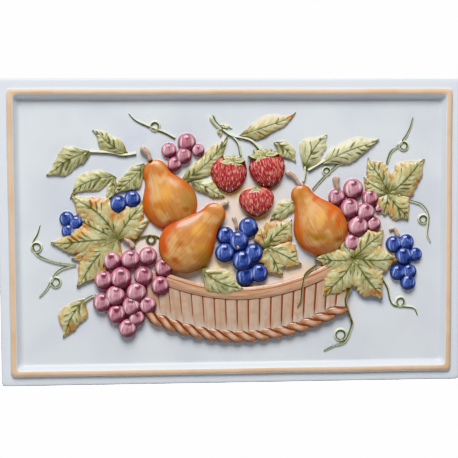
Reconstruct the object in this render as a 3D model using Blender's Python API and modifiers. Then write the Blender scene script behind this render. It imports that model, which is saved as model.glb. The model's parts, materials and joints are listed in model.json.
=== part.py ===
"""A glazed ceramic wall tile with a raised rim and a moulded basket of fruit.

Metres, +X to the right, +Z up. The unglazed back lies in the plane Y = 0 with
the origin at its centre, and the relief faces -Y. The rim, the bead and the
field are set by the sizes in metres. The relief is a free form: it is drawn in
millimetres from the tile's centre and grows or shrinks as a whole to fit the
field.
"""
import math

import bmesh
import bpy
from mathutils import Matrix, Vector

# Slab and rim, in metres
TILE_WIDTH = 0.457
TILE_HEIGHT = 0.302
CORNER_ROUND = 0.004
EDGE_ROUND = 0.003
EDGE_MIDDLE = 0.3         # the round's middle point, as a share of the round from the corner
FLANGE_DEPTH = 0.013      # back to the white flange
FIELD_DEPTH = 0.0095      # back to the flat field
BEAD_INSET = 0.0135       # outer edge to the crest of the bead
BEAD_WIDTH = 0.007
BEAD_RISE = 0.0035        # crest of the bead above the flange
COVE_WIDTH = 0.007        # hollow slope between the bead and the field
COVE_TOP = 0.0055         # top of that slope above the field

# Keying grooves in the back, in metres
GROOVE_WIDTH = 0.006
GROOVE_DEPTH = 0.0012
GROOVE_PITCH = 0.034
GROOVE_ROWS = 8
GROOVE_MARGIN = 0.020     # groove end to the tile's edge
FIXING_LAND = 0.060       # flat band left across the middle of the back

# Relief, drawn in millimetres from the tile's centre
FIELD_MARGIN = 5.0        # clear field around the relief
RELIEF_REACH_X = 198.5
RELIEF_REACH_Z = 122.0
RELIEF_HEIGHT = 0.8       # share of the drawn heights that the relief keeps
ROOT_DEPTH = 2.0          # how far each form runs down into the slab
ROOT_STEP = 0.035         # each form's root lies this much deeper than the last

# Pears: belly centre x, z and radius, neck centre x, z and radius, level, rise
PEARS = (
    (-61.5, 29.0, 27.0, -75.0, 58.5, 13.2, 0.5, 13.0),
    (87.5, 3.0, 27.0, 68.5, 36.0, 10.5, 2.0, 15.0),
    (-46.0, -13.0, 27.0, -18.5, 17.5, 11.5, 6.0, 13.5),
)
PEAR_SHOULDER = 0.35      # where the belly's circle ends, as a share of its radius
# Strawberries: crown x, z, tip x, z, radius, level, rise, the cap's shift in x and z
STRAWBERRIES = (
    (-4.0, 73.5, -2.5, 38.0, 18.0, 2.0, 9.0, 5.0, 0.0),
    (31.0, 77.0, 39.0, 43.0, 18.0, 2.5, 9.5, 0.0, 2.5),
    (22.5, 43.5, 25.5, 14.5, 17.5, 3.5, 9.0, 0.0, 0.0),
)
STRAWBERRY_FULL = 0.38    # the two powers that shape its outline
STRAWBERRY_TAPER = 0.62
# The leafy cap on each strawberry: points, reach to the side and up, notch, level
CALYX_POINTS = 7
CALYX_REACH = 14.5
CALYX_HEIGHT = 7.5
CALYX_NOTCH = 0.55
CALYX_DROP = 2.5          # its middle below the strawberry's crown
CALYX_LEVEL = 8.5
CALYX_RISE = 3.0

# Bunches of round fruit: x, z, radius of each, low fruit first
UPPER_GRAPES = (
    (-44.5, 88.0, 8.3), (-62.0, 80.5, 6.8), (-33.5, 80.5, 5.8),
    (-56.5, 67.0, 6.4), (-47.5, 75.0, 7.2),
)
LEFT_GRAPES = (
    (-118.5, -27.0, 8.3), (-100.5, -26.0, 8.6), (-83.5, -23.0, 8.2),
    (-68.0, -34.5, 8.2), (-127.0, -46.0, 8.2), (-128.5, -68.0, 8.4),
    (-104.0, -94.0, 8.2), (-114.5, -79.5, 8.3), (-95.0, -84.0, 7.2),
    (-71.5, -52.0, 8.4), (-84.0, -71.0, 7.8), (-88.0, -42.5, 8.4),
    (-115.5, -61.5, 8.8), (-110.0, -44.0, 9.4), (-100.0, -72.0, 8.4),
    (-95.0, -58.5, 9.0),
)
RIGHT_GRAPES = (
    (103.5, 33.5, 7.7), (120.0, 41.5, 9.2), (137.0, 32.5, 7.6),
    (145.5, 22.0, 3.5), (118.5, -12.0, 8.0), (140.5, 7.0, 6.5),
    (132.0, 18.5, 8.3), (116.5, 22.5, 8.8), (124.5, 4.5, 9.2),
)
LEFT_BERRIES = ((-162.0, 14.0, 6.8), (-160.8, 2.0, 6.2), (-153.3, 10.5, 6.4))
UPPER_BERRIES = ((-112.0, 28.4, 7.6), (-98.0, 33.0, 7.4))
MIDDLE_BERRIES = (
    (15.5, 4.5, 8.7), (-7.0, -3.5, 7.8), (26.0, -41.0, 8.2), (12.5, -44.0, 8.6),
    (20.5, -21.0, 8.5), (-8.0, -20.5, 8.6), (6.0, -9.0, 9.0), (9.5, -28.5, 9.3),
)
RIGHT_BERRIES = (
    (161.0, -13.7, 7.6), (173.5, -11.5, 7.0), (182.5, -24.0, 6.2),
    (171.0, -25.5, 8.0), (176.5, -41.0, 6.8), (164.8, -42.0, 7.0),
    (175.3, -52.0, 7.0),
)
# Each bunch: fruit, level of the lowest and of the highest, rise as a share of radius
BUNCHES = (
    (UPPER_GRAPES, 1.0, 3.0, 0.85),
    (LEFT_GRAPES, 3.5, 6.0, 0.80),
    (RIGHT_GRAPES, 1.5, 4.0, 0.80),
    (LEFT_BERRIES, 1.0, 2.0, 0.85),
    (UPPER_BERRIES, 2.5, 3.0, 0.85),
    (MIDDLE_BERRIES, 2.0, 5.0, 0.80),
    (RIGHT_BERRIES, 1.0, 2.5, 0.85),
)

# Plain leaves: base x, z, tip x, z, width, sideways bend as a share of length, level
LEAVES = (
    (-101.5, 77.0, -134.5, 103.0, 18.0, 0.08, 2.2),
    (-138.0, 80.0, -180.0, 54.0, 23.0, -0.08, 2.4),
    (-113.5, 54.5, -160.0, 36.5, 20.0, -0.12, 2.0),
    (-116.0, 56.0, -126.0, 30.0, 9.0, 0.10, 3.2),
    (-86.0, 68.0, -117.0, 38.5, 19.0, 0.06, 3.0),
    (6.5, 93.5, 64.5, 113.5, 18.0, 0.01, 2.2),
    (-52.0, 48.0, -2.0, 95.0, 18.0, -0.06, 2.6),
    (-41.0, 49.5, -9.0, 32.0, 15.0, 0.08, 3.0),
    (41.0, 88.0, 62.5, 67.5, 15.0, 0.10, 2.4),
    (71.5, 61.0, 94.0, 95.5, 25.0, 0.09, 2.4),
    (88.0, 66.0, 147.0, 88.0, 21.0, 0.05, 3.0),
    (63.0, 31.0, 35.5, 13.0, 16.0, 0.05, 2.2),
    (-31.0, -36.0, 11.0, -55.5, 26.0, -0.10, 8.5),
    (-145.0, -65.0, -165.0, -104.0, 24.0, -0.10, 2.6),
    (-13.0, 104.0, -11.0, 93.0, 5.0, 0.0, 2.0),
    (-13.0, 104.0, 0.0, 101.0, 4.0, 0.10, 2.0),
)
# Vine leaves: centre x, z and level, then the lobes: tip x, z, width, bend
VINE_LEAVES = (
    ((-113.5, -6.0, 3.5), (
        (-151.0, 13.0, 30.0, 0.0), (-157.0, -28.0, 30.0, 0.0),
        (-122.0, 29.0, 24.0, 0.0), (-126.0, -34.0, 22.0, 0.0),
        (-97.0, 27.0, 22.0, 0.0), (-160.0, 34.5, 32.0, -0.12),
        (-178.0, -12.0, 32.0, -0.02), (-151.0, -55.0, 30.0, -0.08),
        (-85.5, 30.0, 28.0, 0.04), (-80.0, 11.0, 18.0, 0.05))),
    ((155.0, 36.0, 2.6), (
        (154.0, 51.0, 14.0, 0.0), (171.0, 37.0, 18.0, 0.0), (163.0, 13.0, 22.0, 0.0),
        (129.0, 51.0, 26.0, 0.0), (132.0, 71.0, 25.0, -0.05),
        (189.5, 73.0, 30.0, -0.05), (177.5, 12.0, 27.0, -0.06),
        (149.0, 15.0, 22.0, 0.03))),
    ((33.0, -16.0, 4.5), (
        (48.0, -18.0, 16.0, 0.0), (40.0, -38.0, 20.0, 0.0), (61.0, 9.5, 28.0, 0.08),
        (27.5, 5.5, 15.0, 0.04), (67.0, -35.0, 27.0, 0.06), (47.0, -44.5, 25.0, 0.04))),
    ((121.0, -27.0, 5.5), (
        (144.0, -42.0, 20.0, 0.0), (121.0, -47.0, 20.0, 0.0), (91.0, -43.0, 24.0, 0.0),
        (137.0, -6.0, 20.0, 0.0), (152.0, -2.0, 26.0, 0.06), (165.0, -27.0, 29.0, -0.05),
        (151.5, -67.0, 33.0, -0.06), (87.0, -63.5, 31.0, 0.06),
        (81.5, -24.5, 25.0, 0.08), (107.0, -8.0, 13.0, 0.02))),
)
# Shape of every leaf, as shares of its width
LEAF_CROWN = 0.14
LEAF_STUB = 0.10
LEAF_BELLY = 0.85         # below 1 the widest place moves towards the base
LOBE_BELLY = 0.85         # the same for a lobe of a vine leaf

# Tendrils: route, ring centre x, z and radius
TENDRILS = (
    (((-100.5, 116.5), (-94.0, 110.0), (-78.0, 102.5), (-66.0, 98.0),
      (-56.0, 92.5)), (-75.5, 104.0, 4.2)),
    (((124.0, 70.5), (110.0, 68.0), (98.5, 60.0), (88.0, 50.0), (80.0, 41.0)),
     (93.5, 59.5, 3.6)),
    (((180.0, 112.0), (176.0, 99.0), (167.5, 86.0), (158.0, 78.0), (154.0, 67.0)),
     (170.5, 84.0, 4.2)),
    (((-188.5, 8.5), (-191.0, 0.0), (-196.0, -10.0), (-192.0, -20.5),
      (-177.0, -28.0), (-154.0, -32.0)), (-192.0, -13.5, 4.6)),
    (((-156.0, -31.5), (-170.0, -36.5), (-177.5, -46.0), (-182.5, -55.0),
      (-190.0, -63.0)), (-174.0, -48.0, 4.7)),
    (((-98.0, -12.0), (-92.0, -6.0), (-81.0, -3.0), (-71.0, -5.5), (-60.0, -3.5)),
     (-80.3, -7.0, 4.0)),
    (((176.0, 30.0), (189.0, 25.0), (195.5, 14.0), (194.5, -4.0), (198.0, -12.5)),
     (190.5, 11.0, 4.2)),
    (((118.5, -88.5), (119.5, -94.0), (112.5, -110.5), (101.0, -115.0),
      (91.0, -120.0)), (107.5, -104.0, 5.4)),
    (((149.0, -46.0), (155.0, -57.0), (160.0, -73.0), (172.0, -76.0),
      (182.0, -78.0), (185.5, -85.0)), (168.0, -71.5, 4.4)),
)
# Tendrils over the basket: route, level
BASKET_TENDRILS = (
    (((84.0, -33.0), (72.0, -43.0), (69.0, -55.0), (67.5, -68.0), (64.0, -75.0)), 7.0),
    (((117.5, -57.0), (112.5, -68.0), (115.5, -81.0), (119.4, -91.0)), 5.2),
)
TENDRIL_RADIUS = 1.7
TENDRIL_LEVEL = 0.7
CURL_RADIUS = 2.0
CURL_LEVEL = -0.3         # a ring's middle line runs just under the field

# Stems: route, radius, level
STEMS = (
    (((-80.0, 70.5), (-83.0, 78.0), (-89.5, 83.5)), 2.9, 4.0),
    (((-14.0, 22.5), (-9.0, 27.5), (-3.5, 30.0)), 2.2, 5.0),
    (((67.0, 45.0), (60.0, 55.0), (52.5, 58.5)), 2.5, 3.0),
    (((105.0, 41.0), (103.0, 48.0), (103.0, 54.5)), 3.2, 2.0),
    (((-9.0, 100.5), (0.0, 94.5), (18.0, 90.0), (29.0, 79.0)), 1.3, 1.5),
    (((0.0, 94.5), (6.0, 87.0), (8.4, 75.5)), 1.2, 1.5),
    (((-22.0, 114.0), (-17.5, 108.5), (-13.0, 102.5)), 2.9, 1.0),
    (((-139.0, 79.5), (-120.0, 78.5), (-107.0, 76.0), (-94.0, 77.5)), 1.5, 1.3),
    (((-133.0, -61.5), (-140.0, -63.0), (-149.0, -69.0)), 1.5, 1.6),
    (((157.0, 0.0), (161.0, 2.0), (166.0, -7.0)), 2.2, 1.5),
    (((4.0, 3.0), (3.0, 10.0), (0.5, 15.5)), 2.0, 1.2),
    (((-107.0, -6.0), (-101.0, -9.0), (-97.0, -15.0)), 2.4, 4.5),
    (((70.5, 49.0), (72.0, 56.0), (72.0, 64.0)), 1.3, 1.8),
    (((75.0, 60.0), (82.0, 64.0), (92.0, 70.0)), 1.4, 2.4),
)

# Basket: both arcs are lowest at BASKET_MIDDLE and rise to the sides
BASKET_MIDDLE = 7.0
BASKET_LEFT = -86.0
BASKET_RIGHT = 117.5
BASKET_DRAFT = 5.0        # how much further in the foot ends at each side
BASKET_LEVEL = 3.5
BASKET_SWELL = 2.5
RIM_LEFT = -66.0
RIM_RIGHT = 108.0
RIM_LOW = -60.9           # height of the rim's middle line at its lowest
RIM_CURVE = 0.0028
RIM_WIDTH = 12.8
RIM_RISE = 2.6            # rim above the staves
RIM_FALL = 0.6            # share of that rise lost at its two edges
STAVES = 18
STAVE_RISE = 0.9
ROPE_LOW = -103.2
ROPE_CURVE = 0.0026
ROPE_LEFT = -79.0
ROPE_RIGHT = 103.0
ROPE_STRANDS = 15
ROPE_HALF_WIDTH = 4.8
ROPE_HALF_LENGTH = 10.0
ROPE_LAY = -34.0          # slope of a strand to the rope's run, in degrees
ROPE_LEVEL = 4.0
ROPE_RISE = 5.0
STAVE_END = -0.5          # staves end this far above the rope's middle line

# Facets
CORNER_POINTS = 4
BEAD_FACETS = 6
COVE_FACETS = 4
BALL_SIDES = 9
BALL_RINGS = 4
PEAR_SIDES = 16
PEAR_RINGS = 9
STRAWBERRY_SIDES = 12
STRAWBERRY_RINGS = 6
STRAND_SIDES = 8
STRAND_RINGS = 4
LEAF_FACET = 11.0
LEAF_CROSSES = 2
ROUTE_STEP = 8.0
RING_POINTS = 8
RIM_LENGTHS = 16
RIM_CROSSES = 4

MM = 0.001
MERGE = 0.001             # points this near one another, in millimetres, are one


def clear_scene():
    for old in list(bpy.data.objects):
        bpy.data.objects.remove(old, do_unlink=True)


def glaze(name, colour, roughness):
    material = bpy.data.materials.new(name)
    material.use_nodes = True
    shader = material.node_tree.nodes["Principled BSDF"]
    shader.inputs["Base Color"].default_value = (*colour, 1.0)
    shader.inputs["Roughness"].default_value = roughness
    shader.inputs["Metallic"].default_value = 0.0
    return material


def field_half_sizes():
    """Half width and half height of the flat field, in millimetres."""
    inset = BEAD_INSET + BEAD_WIDTH / 2 + COVE_WIDTH
    return ((TILE_WIDTH / 2 - inset) / MM, (TILE_HEIGHT / 2 - inset) / MM)


def relief_scale():
    half_width, half_height = field_half_sizes()
    return min((half_width - FIELD_MARGIN) / RELIEF_REACH_X,
               (half_height - FIELD_MARGIN) / RELIEF_REACH_Z)


def relief_matrix():
    """Takes the drawing (x across, y into the tile, z up) to the slab's field."""
    return (Matrix.Translation((0.0, -FIELD_DEPTH, 0.0))
            @ Matrix.Scale(relief_scale() * MM, 4)
            @ Matrix.Diagonal((1.0, RELIEF_HEIGHT, 1.0, 1.0)))


def new_object(name, bm, collection, matrix=None):
    bmesh.ops.recalc_face_normals(bm, faces=bm.faces)
    mesh = bpy.data.meshes.new(name)
    bm.to_mesh(mesh)
    bm.free()
    if matrix:
        mesh.transform(matrix)
    made = bpy.data.objects.new(name, mesh)
    collection.objects.link(made)
    return made


def hide_guide(made):
    made.hide_render = True
    made.display_type = "WIRE"


# Slab

def rounded_rectangle(inset, depth):
    """One closed ring of the rim, as far in and as deep as asked."""
    ring = []
    reach_x = TILE_WIDTH / 2 - inset - CORNER_ROUND
    reach_z = TILE_HEIGHT / 2 - inset - CORNER_ROUND
    for quarter in range(4):
        side_x = 1 if quarter in (0, 3) else -1
        side_z = 1 if quarter in (0, 1) else -1
        for step in range(CORNER_POINTS):
            angle = math.pi / 2 * (quarter + step / (CORNER_POINTS - 1))
            ring.append(Vector((side_x * reach_x + CORNER_ROUND * math.cos(angle),
                                -depth,
                                side_z * reach_z + CORNER_ROUND * math.sin(angle))))
    return ring


def rim_profile():
    """Inset and depth of each ring, from the back edge to the field."""
    profile = [(0.0, 0.0), (0.0, FLANGE_DEPTH - EDGE_ROUND)]
    profile.append((EDGE_ROUND * EDGE_MIDDLE, FLANGE_DEPTH - EDGE_ROUND * EDGE_MIDDLE))
    profile.append((EDGE_ROUND, FLANGE_DEPTH))
    shoulder = FIELD_DEPTH + COVE_TOP
    for step in range(BEAD_FACETS + 1):
        angle = math.pi * step / BEAD_FACETS
        foot = FLANGE_DEPTH if step <= BEAD_FACETS / 2 else shoulder
        rise = FLANGE_DEPTH + BEAD_RISE - foot
        profile.append((BEAD_INSET - BEAD_WIDTH / 2 * math.cos(angle),
                        foot + rise * math.sin(angle)))
    for step in range(1, COVE_FACETS + 1):
        share = step / COVE_FACETS
        profile.append((BEAD_INSET + BEAD_WIDTH / 2 + COVE_WIDTH * share,
                        FIELD_DEPTH + COVE_TOP * (1 - share) ** 2))
    return profile


def make_slab(collection):
    bm = bmesh.new()
    rings = [[bm.verts.new(point) for point in rounded_rectangle(inset, depth)]
             for inset, depth in rim_profile()]
    for outer, inner in zip(rings, rings[1:]):
        for here in range(len(outer)):
            after = (here + 1) % len(outer)
            bm.faces.new((outer[here], outer[after], inner[after], inner[here]))
    bm.faces.new(rings[0])
    bm.faces.new(rings[-1])
    return new_object("relief_tile", bm, collection)


def make_grooves(collection):
    """Shallow rows across the back that give the mortar a hold."""
    length = TILE_WIDTH - 2 * GROOVE_MARGIN
    for side in (-1, 1):
        for row in range(GROOVE_ROWS // 2):
            height = side * (FIXING_LAND / 2 + GROOVE_WIDTH / 2 + GROOVE_PITCH * row)
            if abs(height) + GROOVE_WIDTH / 2 > TILE_HEIGHT / 2 - GROOVE_MARGIN / 2:
                continue
            bm = bmesh.new()
            bmesh.ops.create_cube(bm, size=1.0)
            bmesh.ops.scale(bm, vec=(length, 2 * GROOVE_DEPTH, GROOVE_WIDTH),
                            verts=bm.verts)
            bmesh.ops.translate(bm, vec=(0.0, 0.0, height), verts=bm.verts)
            hide_guide(new_object(f"groove_{side}_{row}", bm, collection))


# Forms of the relief, each in millimetres with -Y out of the field

class Relief:
    """Collects the forms and roots each one a little deeper than the last."""

    def __init__(self, collection):
        self.collection = collection
        self.count = 0

    def root(self):
        self.count += 1
        return ROOT_DEPTH + ROOT_STEP * self.count

    def add(self, name, bm):
        number = len(self.collection.objects)
        made = new_object(f"{name}_{number}", bm, self.collection, relief_matrix())
        hide_guide(made)

    def add_rooted(self, name, bm):
        """Closes an open front shell with a straight wall down into the slab."""
        root = self.root()
        rim = [edge for edge in bm.edges if edge.is_boundary]
        wall = bmesh.ops.extrude_edge_only(bm, edges=rim)["geom"]
        for vert in (item for item in wall if isinstance(item, bmesh.types.BMVert)):
            vert.co.y = root
        bmesh.ops.holes_fill(bm, edges=[edge for edge in bm.edges if edge.is_boundary])
        self.add(name, bm)

    def add_turned(self, name, bm, x, z, level):
        """Keeps the front half of a round form and roots it at its widest line."""
        geometry = bm.verts[:] + bm.edges[:] + bm.faces[:]
        bmesh.ops.bisect_plane(bm, geom=geometry, dist=MERGE / 10, plane_co=(0, 0, 0),
                               plane_no=(0, 1, 0), clear_outer=True)
        bmesh.ops.translate(bm, vec=(x, -level, z), verts=bm.verts)
        self.add_rooted(name, bm)


def add_ball(relief, name, x, z, radius, level, rise):
    bm = bmesh.new()
    bmesh.ops.create_uvsphere(bm, u_segments=BALL_SIDES, v_segments=BALL_RINGS, radius=1.0)
    bmesh.ops.rotate(bm, cent=(0, 0, 0), matrix=Matrix.Rotation(math.pi / 2, 3, "X"),
                     verts=bm.verts)
    bmesh.ops.scale(bm, vec=(radius, rise, radius), verts=bm.verts)
    relief.add_turned(name, bm, x, z, level)


def turned_shell(name, profile, sides):
    """Turns a profile of (radius, height) from its top down with a Screw modifier."""
    mesh = bpy.data.meshes.new(name)
    points = [(radius, 0.0, height) for radius, height in profile]
    mesh.from_pydata(points, [(n, n + 1) for n in range(len(points) - 1)], [])
    turned = bpy.data.objects.new(name, mesh)
    bpy.context.scene.collection.objects.link(turned)
    screw = turned.modifiers.new("Screw", "SCREW")
    screw.steps = sides
    screw.render_steps = sides
    screw.use_merge_vertices = True
    screw.merge_threshold = MERGE / 10
    graph = bpy.context.evaluated_depsgraph_get()
    bm = bmesh.new()
    bm.from_mesh(bpy.data.meshes.new_from_object(turned.evaluated_get(graph)))
    bmesh.ops.remove_doubles(bm, verts=bm.verts, dist=MERGE)
    bpy.data.objects.remove(turned, do_unlink=True)
    return bm


def pear_profile(belly, neck, length):
    """Top down: round neck, hollow shoulder, round belly. length joins the centres."""
    shoulder = PEAR_SHOULDER * belly
    profile = []
    for ring in range(PEAR_RINGS + 1):
        height = length + neck - (length + neck + belly) * (
            1 - math.cos(math.pi * ring / PEAR_RINGS)) / 2
        if height > length:
            radius = math.sqrt(max(neck ** 2 - (height - length) ** 2, 0.0))
        elif height < shoulder:
            radius = math.sqrt(max(belly ** 2 - height ** 2, 0.0))
        else:
            share = (height - shoulder) / (length - shoulder)
            start = math.sqrt(belly ** 2 - shoulder ** 2)
            slope = -shoulder / start * (length - shoulder)
            radius = (start * (1 + 2 * share) * (1 - share) ** 2
                      + slope * share * (1 - share) ** 2
                      + neck * share ** 2 * (3 - 2 * share))
        profile.append((radius, height))
    profile[0] = (0.0, length + neck)
    profile[-1] = (0.0, -belly)
    return profile


def strawberry_profile(radius, length):
    """Crown down to the tip: full near the crown, narrowing to a blunt tip."""
    full, taper = STRAWBERRY_FULL, STRAWBERRY_TAPER
    peak = full ** full * taper ** taper
    profile = []
    for ring in range(STRAWBERRY_RINGS + 1):
        share = (1 - math.cos(math.pi * ring / STRAWBERRY_RINGS)) / 2
        width = share ** full * (1 - share) ** taper / peak
        profile.append((radius * width, -length * share))
    return profile


def lean(bm, direction):
    """Turns a form whose axis is +Z to the given direction in the tile's plane."""
    angle = math.atan2(direction.x, direction.y)
    bmesh.ops.rotate(bm, cent=(0, 0, 0), matrix=Matrix.Rotation(angle, 3, "Y"),
                     verts=bm.verts)


def add_pear(relief, row):
    x, z, belly, neck_x, neck_z, neck, level, rise = row
    axis = Vector((neck_x - x, neck_z - z))
    bm = turned_shell("pear", pear_profile(belly, neck, axis.length), PEAR_SIDES)
    bmesh.ops.scale(bm, vec=(1.0, rise / belly, 1.0), verts=bm.verts)
    lean(bm, axis)
    relief.add_turned("pear", bm, x, z, level)


def add_calyx(relief, x, z):
    """A star of small leaves over a strawberry's crown."""
    bm = bmesh.new()
    star = bmesh.ops.create_circle(bm, cap_ends=True, cap_tris=True, radius=1.0,
                                   segments=2 * CALYX_POINTS)["verts"]
    for number, vert in enumerate(star):
        reach = vert.co.length
        notch = CALYX_NOTCH if number % 2 else 1.0
        vert.co = Vector((x + CALYX_REACH * notch * vert.co.x,
                          -CALYX_LEVEL - CALYX_RISE * (1 - reach),
                          z - CALYX_DROP + CALYX_HEIGHT * notch * vert.co.y))
    relief.add_rooted("calyx", bm)


def add_strawberry(relief, row):
    x, z, tip_x, tip_z, radius, level, rise, cap_x, cap_z = row
    axis = Vector((x - tip_x, z - tip_z))
    bm = turned_shell("strawberry", strawberry_profile(radius, axis.length),
                      STRAWBERRY_SIDES)
    bmesh.ops.scale(bm, vec=(1.0, rise / radius, 1.0), verts=bm.verts)
    lean(bm, axis)
    relief.add_turned("strawberry", bm, x, z, level)
    add_calyx(relief, x + cap_x, z + cap_z)


def add_leaf(relief, name, base, tip, width, bend, level, belly):
    """A pointed, crowned leaf whose middle line bends to one side."""
    base, tip = Vector(base), Vector(tip)
    run = tip - base
    across = Vector((-run.y, run.x)).normalized()
    bm = bmesh.new()
    lengths = max(3, round(run.length / LEAF_FACET))
    grid = bmesh.ops.create_grid(bm, x_segments=lengths, y_segments=LEAF_CROSSES,
                                 size=1.0)["verts"]
    for vert in grid:
        share = (vert.co.x + 1) / 2
        side = vert.co.y
        body = math.sin(math.pi * share ** belly)
        half = width / 2 * (LEAF_STUB + (1 - LEAF_STUB) * body)
        middle = base + run * share + across * (
            4 * share * (1 - share) * bend * run.length)
        point = middle + across * (half * side)
        crown = LEAF_CROWN * width * body * (1 - side ** 2)
        vert.co = Vector((point.x, -(level + crown), point.y))
    relief.add_rooted(name, bm)


def smooth_route(points, step):
    """Even points along a smooth curve that passes through the given ones."""
    points = [Vector(point) for point in points]
    padded = [2 * points[0] - points[1], *points, 2 * points[-1] - points[-2]]
    route = [points[0]]
    for a, b, c, d in zip(padded, padded[1:], padded[2:], padded[3:]):
        pieces = max(1, round((c - b).length / step))
        for piece in range(1, pieces + 1):
            t = piece / pieces
            route.append(0.5 * (2 * b + (c - a) * t + (2 * a - 5 * b + 4 * c - d) * t ** 2
                                + (3 * b - a - 3 * c + d) * t ** 3))
    return route


def add_wire(relief, name, route, radius, level, closed=False):
    """A round bar along a route, with straight walls down from its widest line."""
    curve = bpy.data.curves.new(name, "CURVE")
    curve.dimensions = "3D"
    curve.bevel_depth = radius
    curve.bevel_resolution = 0
    curve.use_fill_caps = not closed
    spline = curve.splines.new("POLY")
    spline.points.add(len(route) - 1)
    for point, place in zip(spline.points, route):
        point.co = (place.x, 0.0, place.y, 1.0)
    spline.use_cyclic_u = closed
    wire = bpy.data.objects.new(name, curve)
    bpy.context.scene.collection.objects.link(wire)
    graph = bpy.context.evaluated_depsgraph_get()
    bm = bmesh.new()
    bm.from_mesh(bpy.data.meshes.new_from_object(wire.evaluated_get(graph)))
    bmesh.ops.remove_doubles(bm, verts=bm.verts, dist=MERGE)
    bpy.data.objects.remove(wire, do_unlink=True)
    if closed:
        bmesh.ops.translate(bm, vec=(0.0, -level, 0.0), verts=bm.verts)
        relief.add(name, bm)
    else:
        relief.add_turned(name, bm, 0.0, 0.0, level)


def add_tendril(relief, row):
    points, ring = row
    x, z, radius = ring
    add_wire(relief, "tendril", smooth_route(points, ROUTE_STEP), TENDRIL_RADIUS,
             TENDRIL_LEVEL)
    turn = [Vector((x + radius * math.cos(2 * math.pi * n / RING_POINTS),
                    z + radius * math.sin(2 * math.pi * n / RING_POINTS)))
            for n in range(RING_POINTS)]
    add_wire(relief, "curl", turn, CURL_RADIUS, CURL_LEVEL, closed=True)


# Basket

def arc_height(x, low, curve):
    return low + curve * (x - BASKET_MIDDLE) ** 2


def basket_swell(x):
    half = (BASKET_RIGHT - BASKET_LEFT) / 2
    share = (x - (BASKET_RIGHT + BASKET_LEFT) / 2) / half
    return BASKET_LEVEL + BASKET_SWELL * (1 - share ** 2)


def add_staves(relief):
    bm = bmesh.new()
    grid = bmesh.ops.create_grid(bm, x_segments=2 * STAVES, y_segments=2, size=1.0)
    for vert in grid["verts"]:
        column = round((vert.co.x + 1) * STAVES)
        down = (1 - vert.co.y) / 2
        left = BASKET_LEFT + BASKET_DRAFT * down
        right = BASKET_RIGHT - BASKET_DRAFT * down
        x = left + (right - left) * (vert.co.x + 1) / 2
        top = arc_height(x, RIM_LOW, RIM_CURVE)
        foot = arc_height(x, ROPE_LOW, ROPE_CURVE) + STAVE_END
        lift = STAVE_RISE if column % 2 else 0.0
        vert.co = Vector((x, -(basket_swell(x) + lift), top + (foot - top) * down))
    relief.add_rooted("staves", bm)


def add_basket_rim(relief):
    bm = bmesh.new()
    grid = bmesh.ops.create_grid(bm, x_segments=RIM_LENGTHS, y_segments=RIM_CROSSES,
                                 size=1.0)
    for vert in grid["verts"]:
        side = vert.co.y
        x = RIM_LEFT + (RIM_RIGHT - RIM_LEFT) * (vert.co.x + 1) / 2
        z = arc_height(x, RIM_LOW, RIM_CURVE) + side * RIM_WIDTH / 2
        level = basket_swell(x) + RIM_RISE * (1 - RIM_FALL * side ** 2)
        vert.co = Vector((x, -level, z))
    relief.add_rooted("basket_rim", bm)


def add_rope(relief):
    for strand in range(ROPE_STRANDS):
        x = ROPE_LEFT + (ROPE_RIGHT - ROPE_LEFT) * strand / (ROPE_STRANDS - 1)
        z = arc_height(x, ROPE_LOW, ROPE_CURVE)
        run = math.atan(2 * ROPE_CURVE * (x - BASKET_MIDDLE))
        bm = bmesh.new()
        bmesh.ops.create_uvsphere(bm, u_segments=STRAND_SIDES, v_segments=STRAND_RINGS,
                                  radius=1.0)
        bmesh.ops.rotate(bm, cent=(0, 0, 0), matrix=Matrix.Rotation(math.pi / 2, 3, "X"),
                         verts=bm.verts)
        bmesh.ops.scale(bm, vec=(ROPE_HALF_LENGTH, ROPE_RISE, ROPE_HALF_WIDTH),
                        verts=bm.verts)
        turn = -(run + math.radians(ROPE_LAY))
        bmesh.ops.rotate(bm, cent=(0, 0, 0), matrix=Matrix.Rotation(turn, 3, "Y"),
                         verts=bm.verts)
        relief.add_turned("strand", bm, x, z, ROPE_LEVEL)


def make_relief(collection):
    relief = Relief(collection)
    add_staves(relief)
    add_basket_rim(relief)
    add_rope(relief)
    for row in LEAVES:
        base_x, base_z, tip_x, tip_z, width, bend, level = row
        add_leaf(relief, "leaf", (base_x, base_z), (tip_x, tip_z), width, bend, level,
                 LEAF_BELLY)
    for (x, z, level), lobes in VINE_LEAVES:
        for tip_x, tip_z, width, bend in lobes:
            add_leaf(relief, "lobe", (x, z), (tip_x, tip_z), width, bend, level,
                     LOBE_BELLY)
    for row in PEARS:
        add_pear(relief, row)
    for row in STRAWBERRIES:
        add_strawberry(relief, row)
    for fruit, low, high, share in BUNCHES:
        for place, (x, z, radius) in enumerate(fruit):
            level = low + (high - low) * place / (len(fruit) - 1)
            add_ball(relief, "ball", x, z, radius, level, share * radius)
    for row in TENDRILS:
        add_tendril(relief, row)
    for points, level in BASKET_TENDRILS:
        add_wire(relief, "tendril", smooth_route(points, ROUTE_STEP), TENDRIL_RADIUS, level)
    for points, radius, level in STEMS:
        add_wire(relief, "stem", smooth_route(points, ROUTE_STEP), radius, level)


def add_boolean(made, operation, collection):
    cut = made.modifiers.new(operation.title(), "BOOLEAN")
    cut.operation = operation
    cut.operand_type = "COLLECTION"
    cut.collection = collection
    cut.solver = "EXACT"


def main():
    clear_scene()
    scene = bpy.context.scene.collection
    parts = bpy.data.collections.new("ceramic_tile")
    grooves = bpy.data.collections.new("groove_cutters")
    forms = bpy.data.collections.new("relief_forms")
    for collection in (parts, grooves, forms):
        scene.children.link(collection)
    tile = make_slab(parts)
    make_grooves(grooves)
    make_relief(forms)
    add_boolean(tile, "DIFFERENCE", grooves)
    add_boolean(tile, "UNION", forms)
    tile.data.materials.append(glaze("glazed_ceramic", (0.80, 0.82, 0.86), 0.12))


main()
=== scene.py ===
import json
import math
import random

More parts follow.
